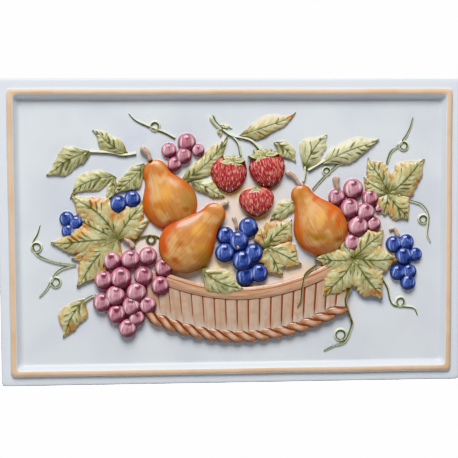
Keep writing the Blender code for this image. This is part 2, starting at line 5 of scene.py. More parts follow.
import bmesh
import bpy
from mathutils import Euler, Matrix, Vector, noise

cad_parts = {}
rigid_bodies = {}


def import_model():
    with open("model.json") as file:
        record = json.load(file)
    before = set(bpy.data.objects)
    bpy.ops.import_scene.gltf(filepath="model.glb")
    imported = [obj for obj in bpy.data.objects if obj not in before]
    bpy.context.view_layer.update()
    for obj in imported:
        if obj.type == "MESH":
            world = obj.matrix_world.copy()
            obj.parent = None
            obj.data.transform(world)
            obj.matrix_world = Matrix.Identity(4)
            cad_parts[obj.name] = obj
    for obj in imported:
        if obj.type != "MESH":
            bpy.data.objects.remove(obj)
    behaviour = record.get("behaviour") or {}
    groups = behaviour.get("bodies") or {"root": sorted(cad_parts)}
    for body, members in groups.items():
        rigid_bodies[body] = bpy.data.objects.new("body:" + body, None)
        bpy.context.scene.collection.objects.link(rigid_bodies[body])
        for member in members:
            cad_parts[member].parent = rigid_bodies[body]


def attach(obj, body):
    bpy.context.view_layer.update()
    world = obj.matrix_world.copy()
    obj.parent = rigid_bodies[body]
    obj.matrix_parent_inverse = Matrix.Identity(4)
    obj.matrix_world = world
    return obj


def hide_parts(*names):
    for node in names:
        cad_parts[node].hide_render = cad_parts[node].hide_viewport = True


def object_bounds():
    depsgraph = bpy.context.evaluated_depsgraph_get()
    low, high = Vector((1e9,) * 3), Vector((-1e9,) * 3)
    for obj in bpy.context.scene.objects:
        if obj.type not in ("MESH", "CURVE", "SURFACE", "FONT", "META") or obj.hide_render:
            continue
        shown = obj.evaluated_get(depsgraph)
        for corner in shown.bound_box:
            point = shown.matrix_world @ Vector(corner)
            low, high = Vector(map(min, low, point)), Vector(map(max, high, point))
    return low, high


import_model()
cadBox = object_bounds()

# Glazed relief wall tile. Rim, bead, field, fruit, leaves, basket and tendrils are one
# pressed piece of clay, so they end as one closed mesh. It is modelled lying on its back
# on the bench, in millimetres: X across, Y up the tile and Z out of its face, with the
# back at Z = 0. At the end it is stood up in the frame, in metres.
mm = 0.001
benchToFrame = Matrix.Rotation(math.pi / 2, 4, "X") @ Matrix.Scale(mm, 4)
random.seed(7)

tile = {
    "cornerRound": 4.0,
    "edgeRound": 3.0,
    "edgeSteps": 4,
    "flangeDepth": 13.0,     # back to the white flange
    "fieldDepth": 9.5,       # back to the flat field
    "beadInset": 13.5,       # outer edge to the crest of the bead
    "beadWidth": 7.0,
    "beadRise": 3.5,
    "beadSteps": 10,
    "coveWidth": 5.6,
    "coveTop": 5.5,
    "covePower": 2.3,        # how hollow the cove is
    "coveSteps": 7,
    "sway": 0.35,            # how far the hand-trued bead wanders
    "swayLength": 60.0,
    "swayDip": 0.5,          # how far it sinks for each mm of that
    "fieldSwell": 0.22,      # soft hollows that drying leaves in the flat clay
    "swellLength": 45.0,
    "calmEdge": 20.0,        # none of them this near the cove
    "acrossCells": 116,
    "upCells": 76,
    "cornerCell": 1.3,       # the short cells that carry the round corners
    "rootDepth": 3.0,        # how far each form runs down into the field
    "rootStep": 0.013,       # each foot ends at a level of its own, as the union needs
    "rootLevels": 70,
    "reliefHeight": 0.8,     # share of the drawn heights that the relief keeps
    "sharpFrom": 38.0,       # degrees between faces from which an edge is drawn sharp
}
halfWidth = (cadBox[1][0] - cadBox[0][0]) / 2 / mm
halfHeight = (cadBox[1][2] - cadBox[0][2]) / 2 / mm


def linearColour(hexText):
    channels = [int(hexText[n:n + 2], 16) / 255 for n in (1, 3, 5)]
    return [c / 12.92 if c <= 0.04045 else ((c + 0.055) / 1.055) ** 2.4
            for c in channels] + [1.0]


def addNode(tree, kind, inputs=(), out=0, **settings):
    # inputs is a row of values or sockets by position, or a dictionary by name or number
    made = tree.nodes.new(kind)
    for name, value in settings.items():
        setattr(made, name, value)
    pairs = inputs.items() if isinstance(inputs, dict) else enumerate(inputs)
    for key, value in pairs:
        if isinstance(value, bpy.types.NodeSocket):
            tree.links.new(value, made.inputs[key])
        else:
            made.inputs[key].default_value = value
    return made.outputs[out] if made.outputs else made


# Camera and studio: the tile hangs clear of a pale floor, lit from above and in front

view = {
    "place": (-0.06112, -1.00571, 0.0621),   # metres
    "turn": (86.5996, 0.2938, -3.3308),      # degrees
    "focalLength": 79.57,                    # mm, on a sensor this wide
    "sensor": 36.0,
}
studio = {
    # each light aims at the tile: place and size in metres, watts, colour
    "lights": (
        ("keySoftbox", (-0.25, -1.68, 2.49), (1.8, 1.3), 134.0, "#ffffff"),
        ("leftWindow", (-1.1, -0.9, 0.35), (0.3, 0.8), 1.5, "#f4f6ff"),
        ("backFill", (0.6, 1.6, 1.5), (1.2, 1.2), 60.0, "#ffffff"),
    ),
    "air": ("#e4e6ea", 0.24),                # soft light from all round, and its strength
    "backdrop": ("#ffffff", 8.0),            # what is seen behind the tile
    "floorDrop": 1.3,                        # tile's lower edge to the floor
    "floorSize": 3.0,
    "floorColour": "#f0f0f0",
    "floorRoughness": 0.9,
}


def addCamera():
    lens = bpy.data.cameras.new("photoView")
    lens.sensor_width = view["sensor"]
    lens.lens = view["focalLength"]
    camera = bpy.data.objects.new("photoView", lens)
    camera.location = view["place"]
    camera.rotation_euler = Euler([math.radians(angle) for angle in view["turn"]])
    bpy.context.scene.collection.objects.link(camera)
    bpy.context.scene.camera = camera


def addLights():
    for name, place, size, power, colour in studio["lights"]:
        lamp = bpy.data.lights.new(name, "AREA")
        lamp.shape = "RECTANGLE"
        lamp.size, lamp.size_y = size
        lamp.energy = power
        lamp.color = linearColour(colour)[:3]
        made = bpy.data.objects.new(name, lamp)
        made.location = place
        made.rotation_euler = (-Vector(place)).to_track_quat("-Z", "Y").to_euler()
        bpy.context.scene.collection.objects.link(made)


def addWorld():
    # the backdrop is plain white to the eye, and the tile is lit by the weaker air
    world = bpy.data.worlds.new("studio")
    bpy.context.scene.world = world
    world.use_nodes = True
    tree = world.node_tree
    tree.nodes.clear()
    seen = addNode(tree, "ShaderNodeLightPath")
    air, backdrop = [addNode(tree, "ShaderNodeBackground", (linearColour(colour), strength))
                     for colour, strength in (studio["air"], studio["backdrop"])]
    mixed = addNode(tree, "ShaderNodeMixShader", (seen, air, backdrop))
    addNode(tree, "ShaderNodeOutputWorld", (mixed,))


def addFloor():
    bpy.ops.mesh.primitive_plane_add(size=studio["floorSize"],
                                     location=(0, 0, cadBox[0][2] - studio["floorDrop"]))
    floor = bpy.context.active_object
    floor.name = "studioFloor"
    paper = bpy.data.materials.new("matt paper sweep")
    paper.use_nodes = True
    shader = paper.node_tree.nodes["Principled BSDF"]
    shader.inputs["Base Color"].default_value = linearColour(studio["floorColour"])
    shader.inputs["Roughness"].default_value = studio["floorRoughness"]
    floor.data.materials.append(paper)


# this view keeps the white glaze white and the painted colours near what they are mixed as
bpy.context.scene.view_settings.view_transform = "Khronos PBR Neutral"
addCamera()
addLights()
addWorld()
addFloor()
print("camera and studio are set")


# Paints. All lie under a clear glaze that rounds and ripples the form, but the bare clay.
# Brush marks follow a form by its paint map, and washes go by the place on the tile.
# Every dictionary holds its hues by name, and the sizes of its patterns are in mm.

glaze = {
    "roughness": 0.13,       # clear and wet looking
    "index": 1.5,            # typical of a clear glaze
    "rippleSize": 11.0,
    "rippleRise": 0.10,
    "softEdge": 0.7,         # by how much it rounds edges and fills creases
    "bare": "#e9e6e4",
    "bareTop": 1.3,          # how far above the field the paint of a form starts to give out
    "bareFoot": 0.3,
    "bareStrength": 0.75,
    "fraySize": 9.09,        # how finely the outline of a wash wanders
}


def readMap(tree, label):
    # the two numbers of a map, and the map itself
    read = addNode(tree, "ShaderNodeUVMap", uv_map=label)
    apart = addNode(tree, "ShaderNodeSeparateXYZ", (read,)).node.outputs
    return apart["X"], apart["Y"], read


def layPaint(tree, hues, under, *coats):
    # each coat goes over the last: its hue by name or in hex, a mask, the mask's value
    # where there is none of it and where it is full, and how strong it is there
    if isinstance(under, str):
        under = linearColour(hues[under])
    for hue, mask, none, full, strength in coats:
        share = addNode(tree, "ShaderNodeMapRange", (mask, none, full, 0.0, strength),
                        interpolation_type="SMOOTHSTEP")
        under = addNode(tree, "ShaderNodeMix",
                        {0: share, 6: under, 7: linearColour(hues.get(hue, hue))}, out=2,
                        data_type="RGBA")
    return under


def brushMarks(tree, place, size, seed=0.0, detail=2.0):
    # noise drawn out along the way with the smaller size
    drawn = addNode(tree, "ShaderNodeMapping", {0: place, 3: size})
    return addNode(tree, "ShaderNodeTexNoise", {0: drawn, 1: seed, 2: 1.0, 3: detail},
                   noise_dimensions="4D")


def layWashes(tree, spot, under, washes, fray, soft):
    # ovals on the tile: x, y, half width, half height, turn in degrees, colour, strength.
    # fray is how many mm their outline wanders, and soft where the full colour starts
    cloud = addNode(tree, "ShaderNodeTexNoise", {0: spot, 2: 1 / glaze["fraySize"], 3: 3.0},
                    out=1)
    centred = addNode(tree, "ShaderNodeVectorMath", (cloud, (0.5, 0.5, 0.5)),
                      operation="SUBTRACT")
    frayed = addNode(tree, "ShaderNodeVectorMath", (centred, (fray, fray, fray), spot),
                     operation="MULTIPLY_ADD")
    allDepths = 1000.0
    for x, y, reachX, reachY, turn, colour, strength in washes:
        oval = addNode(tree, "ShaderNodeMapping",
                       (frayed, (x, 0.0, y), (0.0, math.radians(-turn), 0.0),
                        (reachX, allDepths, reachY)), vector_type="TEXTURE")
        away = addNode(tree, "ShaderNodeVectorMath", (oval,), out=1, operation="LENGTH")
        under = layPaint(tree, {}, under, (colour, away, 1.0, soft, strength))
    return under


def startPaint(name):
    material = bpy.data.materials.new(name)
    material.use_nodes = True
    tree = material.node_tree
    tree.nodes.clear()
    seen = addNode(tree, "ShaderNodeTexCoord", out=3)
    spot = addNode(tree, "ShaderNodeVectorMath", {0: seen, 3: 1 / mm}, operation="SCALE")
    return material, tree, spot


def mixPaint(name, hues, brush, halo=False):
    material, tree, spot = startPaint("glazed ceramic, " + name)
    colour = brush(tree, spot, hues)
    if halo:
        # the paint ends above the field, so white glaze shows round the foot of the form
        depth = addNode(tree, "ShaderNodeSeparateXYZ", (spot,), out=1)
        colour = layPaint(tree, glaze, colour,
                          ("bare", depth, -tile["fieldDepth"] - glaze["bareTop"],
                           -tile["fieldDepth"] - glaze["bareFoot"], glaze["bareStrength"]))
    wave = addNode(tree, "ShaderNodeTexNoise", {0: spot, 2: 1 / glaze["rippleSize"], 3: 1.0})
    soft = addNode(tree, "ShaderNodeBevel", (glaze["softEdge"] * mm,), samples=4)
    moulded = addNode(tree, "ShaderNodeBump",
                      {0: 1.0, 1: glaze["rippleRise"] * mm, 3: wave, 4: soft})
    shader = addNode(tree, "ShaderNodeBsdfPrincipled",
                     {"Base Color": colour, "IOR": glaze["index"], "Normal": moulded,
                      "Roughness": hues.get("roughness", glaze["roughness"])})
    addNode(tree, "ShaderNodeOutputMaterial", (shader,))
    return material


# White field, rim and the painted bead

field = {
    "white": "#d8dcdf",
    "cloud": "#cfd3d9",
    "rimWhite": "#d9dee3",
    "bead": "#e0c2a4",
    "beadDark": "#d2ab82",
    "cloudSize": 62.5,
    "beadCloudSize": 28.57,
    "rimFrom": 0.6,          # how far above the field the rim's white starts
    "rimFull": 3.0,
    "fray": 16.0,
    "washes": (
        # cream and pink between forms, gold under the strawberries, blue-grey painted shadow
        # by leaves
        (-20.0, -30.0, 90.0, 26.0, 0.0, "#f2dcc0", 0.95),
        (15.0, 20.0, 62.0, 52.0, 0.0, "#eed9c4", 0.85),
        (-85.0, -10.0, 45.0, 22.0, 0.0, "#ecdccb", 0.70),
        (-98.0, -58.0, 36.0, 45.0, -35.0, "#e2cfc6", 0.60),
        (128.0, 0.0, 34.0, 50.0, 20.0, "#efd2bf", 0.85),
        (62.0, -40.0, 46.0, 13.0, 12.0, "#efd6bc", 0.90),
        (-68.0, 40.0, 38.0, 40.0, 0.0, "#eadfd6", 0.55),
        (0.0, 39.0, 24.0, 9.0, 0.0, "#d8ac50", 0.80),
        (36.0, 45.0, 20.0, 7.0, 0.0, "#d8b868", 0.75),
        (25.0, 16.5, 19.0, 7.0, 0.0, "#d9a848", 0.85),
        (138.0, 12.0, 12.0, 22.0, 0.0, "#f0c4b0", 0.55),
        # painted shadow: cool blue-grey on the field beside and below the leaves
        (-100.0, 92.0, 34.0, 12.0, 20.0, "#cbcfe0", 0.60),
        (140.0, -66.0, 30.0, 12.0, -12.0, "#b9c1dc", 0.65),
        (172.0, 28.0, 22.0, 12.0, 0.0, "#c9cfe2", 0.55),
    ),
}


def paintField(tree, spot, hues):
    # poured white glaze: cool, wet looking and a little cloudy, tinted near the fruit
    cloud = addNode(tree, "ShaderNodeTexNoise", {0: spot, 2: 1 / hues["cloudSize"], 3: 2.0})
    colour = layPaint(tree, hues, "white", ("cloud", cloud, 0.35, 0.7, 1.0))
    # the washes also lay painted shadow, blue-grey, beside and below the leaves
    colour = layWashes(tree, spot, colour, hues["washes"], hues["fray"], 0.1)
    # the rim and the foot of the bead stay whiter: the glaze lies thicker there
    depth = addNode(tree, "ShaderNodeSeparateXYZ", (spot,), out=1)
    return layPaint(tree, hues, colour,
                    ("rimWhite", depth, -tile["fieldDepth"] - hues["rimFrom"],
                     -tile["fieldDepth"] - hues["rimFull"], 1.0))


def paintBead(tree, spot, hues):
    # a warm orange line brushed along the bead, thinner at its two edges
    cloud = addNode(tree, "ShaderNodeTexNoise",
                    {0: spot, 2: 1 / hues["beadCloudSize"], 3: 3.0})
    across = readMap(tree, "paint")[1]
    edge = addNode(tree, "ShaderNodeMath", (across,), operation="ABSOLUTE")
    return layPaint(tree, hues, "bead", ("beadDark", cloud, 0.42, 0.68, 0.5),
                    ("white", edge, 0.36, 0.66, 1.0))


bisque = {
    "clay": "#d2c1ab",
    "dark": "#bfa98f",
    "speck": "#a8937b",
    "roughness": 0.9,
    "grainSize": 1.11,
    "cloudSize": 50.0,
    "grainRise": 0.15,
}


def makeBisque():
    # bare fired clay on the back: warm, matt and slightly grainy
    material, tree, spot = startPaint("bisque clay")
    grain = addNode(tree, "ShaderNodeTexNoise", {0: spot, 2: 1 / bisque["grainSize"], 3: 4.0})
    cloud = addNode(tree, "ShaderNodeTexNoise", {0: spot, 2: 1 / bisque["cloudSize"], 3: 3.0})
    colour = layPaint(tree, bisque, "clay", ("dark", cloud, 0.35, 0.65, 1.0),
                      ("speck", grain, 0.58, 0.72, 0.5))
    rough = addNode(tree, "ShaderNodeBump", {0: 0.6, 1: bisque["grainRise"] * mm, 3: grain})
    shader = addNode(tree, "ShaderNodeBsdfPrincipled",
                     {"Base Color": colour, "Roughness": bisque["roughness"],
                      "Normal": rough})
    addNode(tree, "ShaderNodeOutputMaterial", (shader,))
    return material


# Leaves: thin green washes, dark veins drawn with a fine brush, and autumn patches

leafPaint = {
    "roughness": 0.3,        # the thin washes leave the glaze duller
    "pale": "#cdcaa0",
    "light": "#dcd9ae",
    "green": "#a6a678",
    "deep": "#74784a",
    "line": "#4f502c",
    "root": "#6c6b3a",
    "edge": "#cfbc86",
    "rust": "#bb8652",
    "cloudSize": 6.25,
    "breakSize": 9.09,       # how long a drawn vein runs before it gives out
    "fray": 16.0,
    "patches": (
        # the pale leaves at the upper right, the darker ones at the left
        (100.0, 82.0, 62.0, 24.0, 0.0, "#ece8c4", 0.50),
        (45.0, 106.0, 30.0, 14.0, 0.0, "#ece4c0", 0.45),
        (-138.0, 78.0, 50.0, 26.0, 0.0, "#848660", 0.40),
        # rust, gold and dark patches on single leaves
        (-134.0, 29.0, 12.0, 5.0, -30.0, "#cf8a50", 0.90),
        (-118.0, 18.0, 6.0, 8.0, 20.0, "#bb6c34", 0.85),
        (-104.0, 24.0, 8.0, 4.0, 35.0, "#d29a60", 0.80),
        (-143.0, 8.0, 8.0, 8.0, 0.0, "#c07a40", 0.85),
        (-150.0, -3.0, 16.0, 5.0, 15.0, "#d69350", 0.90),
        (-132.0, -8.0, 8.0, 3.0, 0.0, "#8f6f38", 0.75),
        (-147.0, -24.0, 12.0, 4.0, 20.0, "#b67e48", 0.85),
        (-101.0, -8.0, 9.0, 4.0, -30.0, "#a97a48", 0.85),
        (157.0, 24.0, 9.0, 6.0, -40.0, "#d9a05c", 0.80),
        (153.5, 43.0, 7.0, 5.0, 0.0, "#5f6035", 0.75),
        (28.0, -5.0, 8.0, 6.0, 20.0, "#b0703a", 0.80),
        (60.0, -33.0, 15.0, 5.0, 10.0, "#d9b062", 0.85),
        (36.0, -17.0, 5.0, 4.0, 0.0, "#6b5f36", 0.70),
        (163.0, -29.0, 9.0, 6.0, 40.0, "#bd5c2a", 0.90),
        (141.0, -62.0, 17.0, 6.0, -10.0, "#bd7440", 0.85),
        (93.0, -60.0, 10.0, 6.0, 30.0, "#c59a4c", 0.85),
        (124.0, -25.0, 7.0, 6.0, 0.0, "#666440", 0.75),
        (38.0, 112.0, 30.0, 6.0, 20.0, "#dccaa4", 0.80),
        (57.0, 115.0, 9.0, 5.0, 20.0, "#bd7c48", 0.85),
        (-160.0, -96.0, 8.0, 14.0, -20.0, "#b17f48", 0.85),
        (-104.0, 74.0, 8.0, 5.0, -20.0, "#d6b468", 0.80),
        (-22.0, -42.0, 5.0, 5.0, 0.0, "#8a6c3c", 0.75),
    ),
}


def paintLeaf(tree, spot, hues):
    # green washes, streaked along the veins. The tone map counts the side veins along a
    # leaf and tells how far it has turned
    along, across = readMap(tree, "paint")[:2]
    vein, tint = readMap(tree, "tone")[:2]
    off = addNode(tree, "ShaderNodeMath", (across,), operation="ABSOLUTE")
    fan = addNode(tree, "ShaderNodeCombineXYZ", (vein, off))
    marks = brushMarks(tree, fan, (1.6, 0.8, 1.0))
    cloud = addNode(tree, "ShaderNodeTexNoise",
                    {0: spot, 2: 1 / hues["cloudSize"], 3: 2.0})
    # yellow, then orange, comes in from the edge, more of it the further a leaf has turned
    turned = addNode(tree, "ShaderNodeMath", (tint, 0.30, cloud), operation="MULTIPLY_ADD")
    turning = addNode(tree, "ShaderNodeMath", (off, 0.40, turned), operation="MULTIPLY_ADD")
    # darker where the veins meet
    root = addNode(tree, "ShaderNodeMath", (marks, 0.5, along), operation="MULTIPLY_ADD")
    colour = layPaint(tree, hues, "pale", ("green", cloud, 0.40, 0.60, 1.0),
                      ("deep", marks, 0.50, 0.66, 0.8), ("light", marks, 0.43, 0.33, 0.6),
                      ("edge", turning, 0.74, 1.04, 0.8),
                      ("rust", turning, 0.98, 1.16, 0.8), ("root", root, 0.56, 0.30, 0.75))
    colour = layWashes(tree, spot, colour, hues["patches"], hues["fray"], 0.1)
    # side veins, broken here and there and gone before the edge
    beat = addNode(tree, "ShaderNodeMath", (vein, 0.5), operation="PINGPONG")
    broken = addNode(tree, "ShaderNodeTexNoise",
                     {0: spot, 2: 1 / hues["breakSize"], 3: 0.0})
    drawn = addNode(tree, "ShaderNodeMath", (broken, -0.8, beat), operation="MULTIPLY_ADD")
    inner = addNode(tree, "ShaderNodeMapRange", (off, 0.55, 0.92, 0.0, 0.22))
    thin = addNode(tree, "ShaderNodeMath", (drawn, inner), operation="ADD")
    faint = addNode(tree, "ShaderNodeMath", (tint, 0.05, thin), operation="MULTIPLY_ADD")
    # middle vein, a dark line on the edges that face down, partly drawn outline and partly
    # painted shade, and the tip
    taper = addNode(tree, "ShaderNodeMath", (along, -0.04, off), operation="MULTIPLY_ADD")
    facing = addNode(tree, "ShaderNodeNewGeometry", out=1)
    down = addNode(tree, "ShaderNodeSeparateXYZ", (facing,), out=2)
    # edges that face down go dark: partly drawn outline, partly painted shade
    outlineAndShade = addNode(tree, "ShaderNodeMath", (down, off), operation="MULTIPLY")
    return layPaint(tree, hues, colour, ("line", faint, -0.27, -0.37, 0.8),
                    ("line", taper, 0.065, 0.02, 0.75), ("line", outlineAndShade, -0.38, -0.7, 0.85),
                    ("line", along, 0.90, 0.99, 0.7))


sepalPaint = {"pale": "#d8d0a0", "green": "#bcb884", "edge": "#4f562c", "rib": "#7b8548"}


def paintSepal(tree, spot, hues):
    # straw green, outlined dark so that each small leaf of a cap reads against the next
    across, place = readMap(tree, "paint")[1:]
    off = addNode(tree, "ShaderNodeMath", (across,), operation="ABSOLUTE")
    marks = brushMarks(tree, place, (1.5, 3.0, 1.0))
    return layPaint(tree, hues, "pale", ("green", marks, 0.45, 0.65, 1.0),
                    ("edge", off, 0.62, 0.88, 0.9), ("rib", off, 0.12, 0.03, 0.6))


# Pears: a warm ground, fine streaks from end to end, blushes laid on wet and a painted
# highlight

pearPaint = {
    "roughness": 0.22,       # the thick colour dulls the glaze a little
    "ground": "#c38650",
    "light": "#d8ac76",
    "streak": "#b4683a",
    "side": "#bd5a2c",
    "cloudSize": 16.67,
    "fray": 5.0,
    "blushesAndHighlight": (
        # left pear
        (-84.0, 58.0, 4.5, 12.0, 5.0, "#c75c1c", 0.80),
        (-76.0, 62.0, 12.0, 9.0, 0.0, "#be682a", 0.65),
        (-70.0, 58.0, 5.0, 8.0, -20.0, "#bf6a1e", 0.75),
        (-60.0, 60.0, 4.0, 13.0, -35.0, "#d2611e", 0.75),
        (-66.0, 38.0, 10.0, 18.0, -20.0, "#e6ab58", 0.70),
        (-84.0, 32.0, 5.0, 18.0, 0.0, "#cf6424", 0.75),
        (-43.0, 33.0, 13.0, 15.0, 20.0, "#a98b52", 0.85),
        (-46.0, 23.0, 7.0, 5.0, 0.0, "#9a5220", 0.80),
        (-72.0, 28.0, 12.0, 7.0, 0.0, "#c9742e", 0.60),
        (-72.0, 20.0, 8.0, 4.0, -30.0, "#e6ad5a", 0.65),
        (-62.0, 9.0, 17.0, 6.0, 20.0, "#b43a1a", 0.90),
        (-73.0, 11.0, 10.0, 4.0, -40.0, "#cc5420", 0.75),
        # middle pear
        (-6.0, 20.0, 5.0, 11.0, 15.0, "#bd6722", 0.80),
        # painted highlight: a pale patch at the top of the middle pear's neck
        (-14.0, 26.0, 6.0, 4.0, 0.0, "#eeb468", 0.75),
        (-34.0, 4.0, 9.0, 12.0, -40.0, "#ebb45c", 0.75),
        (-65.0, 1.0, 7.0, 6.0, 20.0, "#cf4e1e", 0.85),
        (-67.0, -13.0, 6.0, 14.0, 10.0, "#c8481c", 0.90),
        (-52.0, -11.0, 7.0, 6.0, 0.0, "#b5622a", 0.75),
        (-33.0, -14.0, 10.0, 8.0, 0.0, "#cf9a4c", 0.70),
        (-28.0, -26.0, 13.0, 11.0, 30.0, "#9a7638", 0.80),
        (-38.0, -36.0, 17.0, 7.0, 0.0, "#86622a", 0.90),
        (-57.0, -26.0, 8.0, 5.0, -40.0, "#b44c1c", 0.80),
        (-20.0, -14.0, 4.0, 14.0, -10.0, "#c25a1e", 0.80),
        # right pear
        (70.0, 44.0, 9.0, 8.0, 0.0, "#c06c2c", 0.65),
        (66.0, 37.0, 4.0, 7.0, -10.0, "#bb7c30", 0.80),
        (84.0, 36.0, 4.5, 14.0, -35.0, "#cb481c", 0.90),
        (97.0, 20.0, 6.0, 12.0, -40.0, "#cf5a24", 0.80),
        (86.0, 14.0, 8.0, 14.0, -12.0, "#e9bb6e", 0.75),
        (103.0, 9.0, 5.0, 10.0, 0.0, "#cb5622", 0.80),
        (109.0, 5.0, 4.0, 6.0, 0.0, "#d4904a", 0.70),
        (84.0, -5.0, 17.0, 7.0, 0.0, "#a5762e", 0.90),
        (105.0, -7.0, 8.0, 5.0, 30.0, "#9c461c", 0.85),
        (80.0, -17.0, 20.0, 5.0, 0.0, "#c24e1c", 0.85),
        (66.0, -2.0, 4.0, 14.0, 0.0, "#cc6c28", 0.75),
    ),
}


def paintPear(tree, spot, hues):
    # warm orange brown, darker at the sides, blushed, with a painted highlight on one neck,
    # and streaked like dry brushing
    across, place = readMap(tree, "paint")[1:]
    number = readMap(tree, "tone")[0]
    off = addNode(tree, "ShaderNodeMath", (across,), operation="ABSOLUTE")
    cloud = addNode(tree, "ShaderNodeTexNoise",
                    {0: spot, 2: 1 / hues["cloudSize"], 3: 2.0})
    colour = layPaint(tree, hues, "ground", ("light", cloud, 0.45, 0.65, 1.0),
                      ("side", off, 0.50, 0.95, 0.85))
    colour = layWashes(tree, spot, colour, hues["blushesAndHighlight"], hues["fray"], 0.1)
    seed = addNode(tree, "ShaderNodeMath", (number, 70.0), operation="MULTIPLY")
    fine = brushMarks(tree, place, (2.2, 26.0, 1.0), seed, 3.0)
    broad = brushMarks(tree, place, (1.8, 7.0, 1.0), seed)
    return layPaint(tree, hues, colour, ("streak", fine, 0.50, 0.68, 0.45),
                    ("light", fine, 0.48, 0.32, 0.35), ("streak", broad, 0.50, 0.72, 0.30))


# Strawberries: strong red, darker at the tip, flicked all over with short light strokes

strawberryPaint = {
    "red": "#b2484a",
    "light": "#c8685c",
    "dark": "#8c2a30",
    "side": "#84282c",
    "tip": "#5f1f24",
    "fleck": "#e8b0a2",
    "seed": "#e6b4a8",
    "seedDark": "#c05a4c",
    "cloudSize": 7.14,
}


def paintStrawberry(tree, spot, hues):
    # rich red with pale flecks between the seeds, so the skin looks dimpled
    along, across, place = readMap(tree, "paint")
    number = readMap(tree, "tone")[0]
    off = addNode(tree, "ShaderNodeMath", (across,), operation="ABSOLUTE")
    cloud = addNode(tree, "ShaderNodeTexNoise",
                    {0: spot, 2: 1 / hues["cloudSize"], 3: 3.0})
    seed = addNode(tree, "ShaderNodeMath", (number, 90.0), operation="MULTIPLY")
    flicks = brushMarks(tree, place, (6.0, 20.0, 1.0), seed, 1.0)
    tip = addNode(tree, "ShaderNodeMath", (flicks, 0.30, along), operation="MULTIPLY_ADD")
    return layPaint(tree, hues, "red", ("light", cloud, 0.48, 0.62, 0.9),
                    ("dark", flicks, 0.55, 0.65, 0.8), ("side", off, 0.75, 1.0, 0.7),
                    ("tip", tip, 0.82, 1.06, 0.85), ("fleck", flicks, 0.44, 0.36, 0.9))


def paintSeed(tree, spot, hues):
    # pale pink to red dabs that catch the light on each raised seed
    shade = readMap(tree, "tone")[0]
    return layPaint(tree, hues, "seed", ("seedDark", shade, 0.35, 0.95, 1.0))


# Round fruit: each is painted in arcs from the stalk down, light and dark by turns; the
# palest arcs are partly brush strokes and partly painted highlight

# the pale arcs are partly brush strokes and partly painted highlight
fruitArcsAndGlints = ((-0.45, 1.0), (0.72, 0.8))     # place across and strength of each light arc
grapePaint = {"roughness": 0.18, "ground": "#cc98a2", "light": "#e6c8ce",
              "deep": "#a2566a", "dark": "#602436", "arcAndGlint": "#f4e2e4", "arcAndGlintShare": 0.75}
berryPaint = {"roughness": 0.18, "ground": "#5668ac", "light": "#90a2d6",
              "deep": "#34437f", "dark": "#20265a", "arcAndGlint": "#c8d2ee", "arcAndGlintShare": 0.5}


def paintRoundFruit(tree, spot, hues):
    # glassy and round: pale arcs at both sides, partly strokes and partly painted highlight,
    # a dark foot and a dark eye
    x, y, place = readMap(tree, "paint")
    shade, shadeB = readMap(tree, "tone")[:2]
    seed = addNode(tree, "ShaderNodeMath", (shade, 40.0), operation="MULTIPLY")
    # strokes run from the stalk down and bend with the outline, a little uneven
    far = addNode(tree, "ShaderNodeVectorMath", (place,), out=1, operation="LENGTH")
    uneven = brushMarks(tree, place, (1.8, 1.8, 1.0), seed, 1.0)
    bow = addNode(tree, "ShaderNodeMath", (y, y), operation="MULTIPLY")
    left = addNode(tree, "ShaderNodeMath", (1.12, bow), operation="SUBTRACT")
    half = addNode(tree, "ShaderNodeMath", (left,), operation="SQRT")
    bent = addNode(tree, "ShaderNodeMath", (x, half), operation="DIVIDE")
    line = addNode(tree, "ShaderNodeMath", (uneven, 0.3, bent), operation="MULTIPLY_ADD")
    strip = addNode(tree, "ShaderNodeCombineXYZ", (line, y, x))
    strokes = brushMarks(tree, strip, (8.0, 1.6, 0.5), seed, 2.0)
    colour = layPaint(tree, hues, "ground", ("deep", strokes, 0.48, 0.34, 0.6),
                      ("light", strokes, 0.54, 0.68, 0.7), ("deep", shadeB, 0.4, 1.5, 0.8))
    # pale arcs, partly brush strokes and partly painted highlight
    for reach, strength in fruitArcsAndGlints:
        gap = addNode(tree, "ShaderNodeMath", (line, reach), operation="SUBTRACT")
        thin = addNode(tree, "ShaderNodeMath", (gap,), operation="ABSOLUTE")
        ends = addNode(tree, "ShaderNodeMath", (bow, 0.24, thin), operation="MULTIPLY_ADD")
        colour = layPaint(tree, hues, colour,
                          ("arcAndGlint", ends, 0.12, 0.03, strength * hues["arcAndGlintShare"]))
    # a darker middle, dark below and to the right, and a dark eye where the stalk was
    middle = addNode(tree, "ShaderNodeVectorMath", (place, (0.05, 0.05, 0.0)), out=1,
                     operation="DISTANCE")
    lower = addNode(tree, "ShaderNodeVectorMath", (place, (0.45, -0.89, 0.0)), out=1,
                    operation="DOT_PRODUCT")
    wobble = addNode(tree, "ShaderNodeMath", (strokes, 0.6, lower), operation="MULTIPLY_ADD")
    eye = addNode(tree, "ShaderNodeVectorMath", (place, (0.05, 0.58, 0.0)), out=1,
                  operation="DISTANCE")
    frayed = addNode(tree, "ShaderNodeMath", (uneven, 0.6, eye), operation="MULTIPLY_ADD")
    return layPaint(tree, hues, colour, ("deep", middle, 0.42, 0.05, 0.45),
                    ("dark", wobble, 0.50, 0.92, 0.9), ("deep", far, 0.74, 0.98, 0.75),
                    ("dark", frayed, 0.76, 0.44, 0.85))


# Tendrils, twigs and woody stems

stemPaint = {
    "tendril": "#dcdcc6",
    "green": "#c8caa8",
    "overBasket": "#b8967a",
    "line": "#4a5526",
    "wood": "#c3aa98",
    "grain": "#9a7c66",
    "foot": "#83654e",
    "cloudSize": 8.33,
}


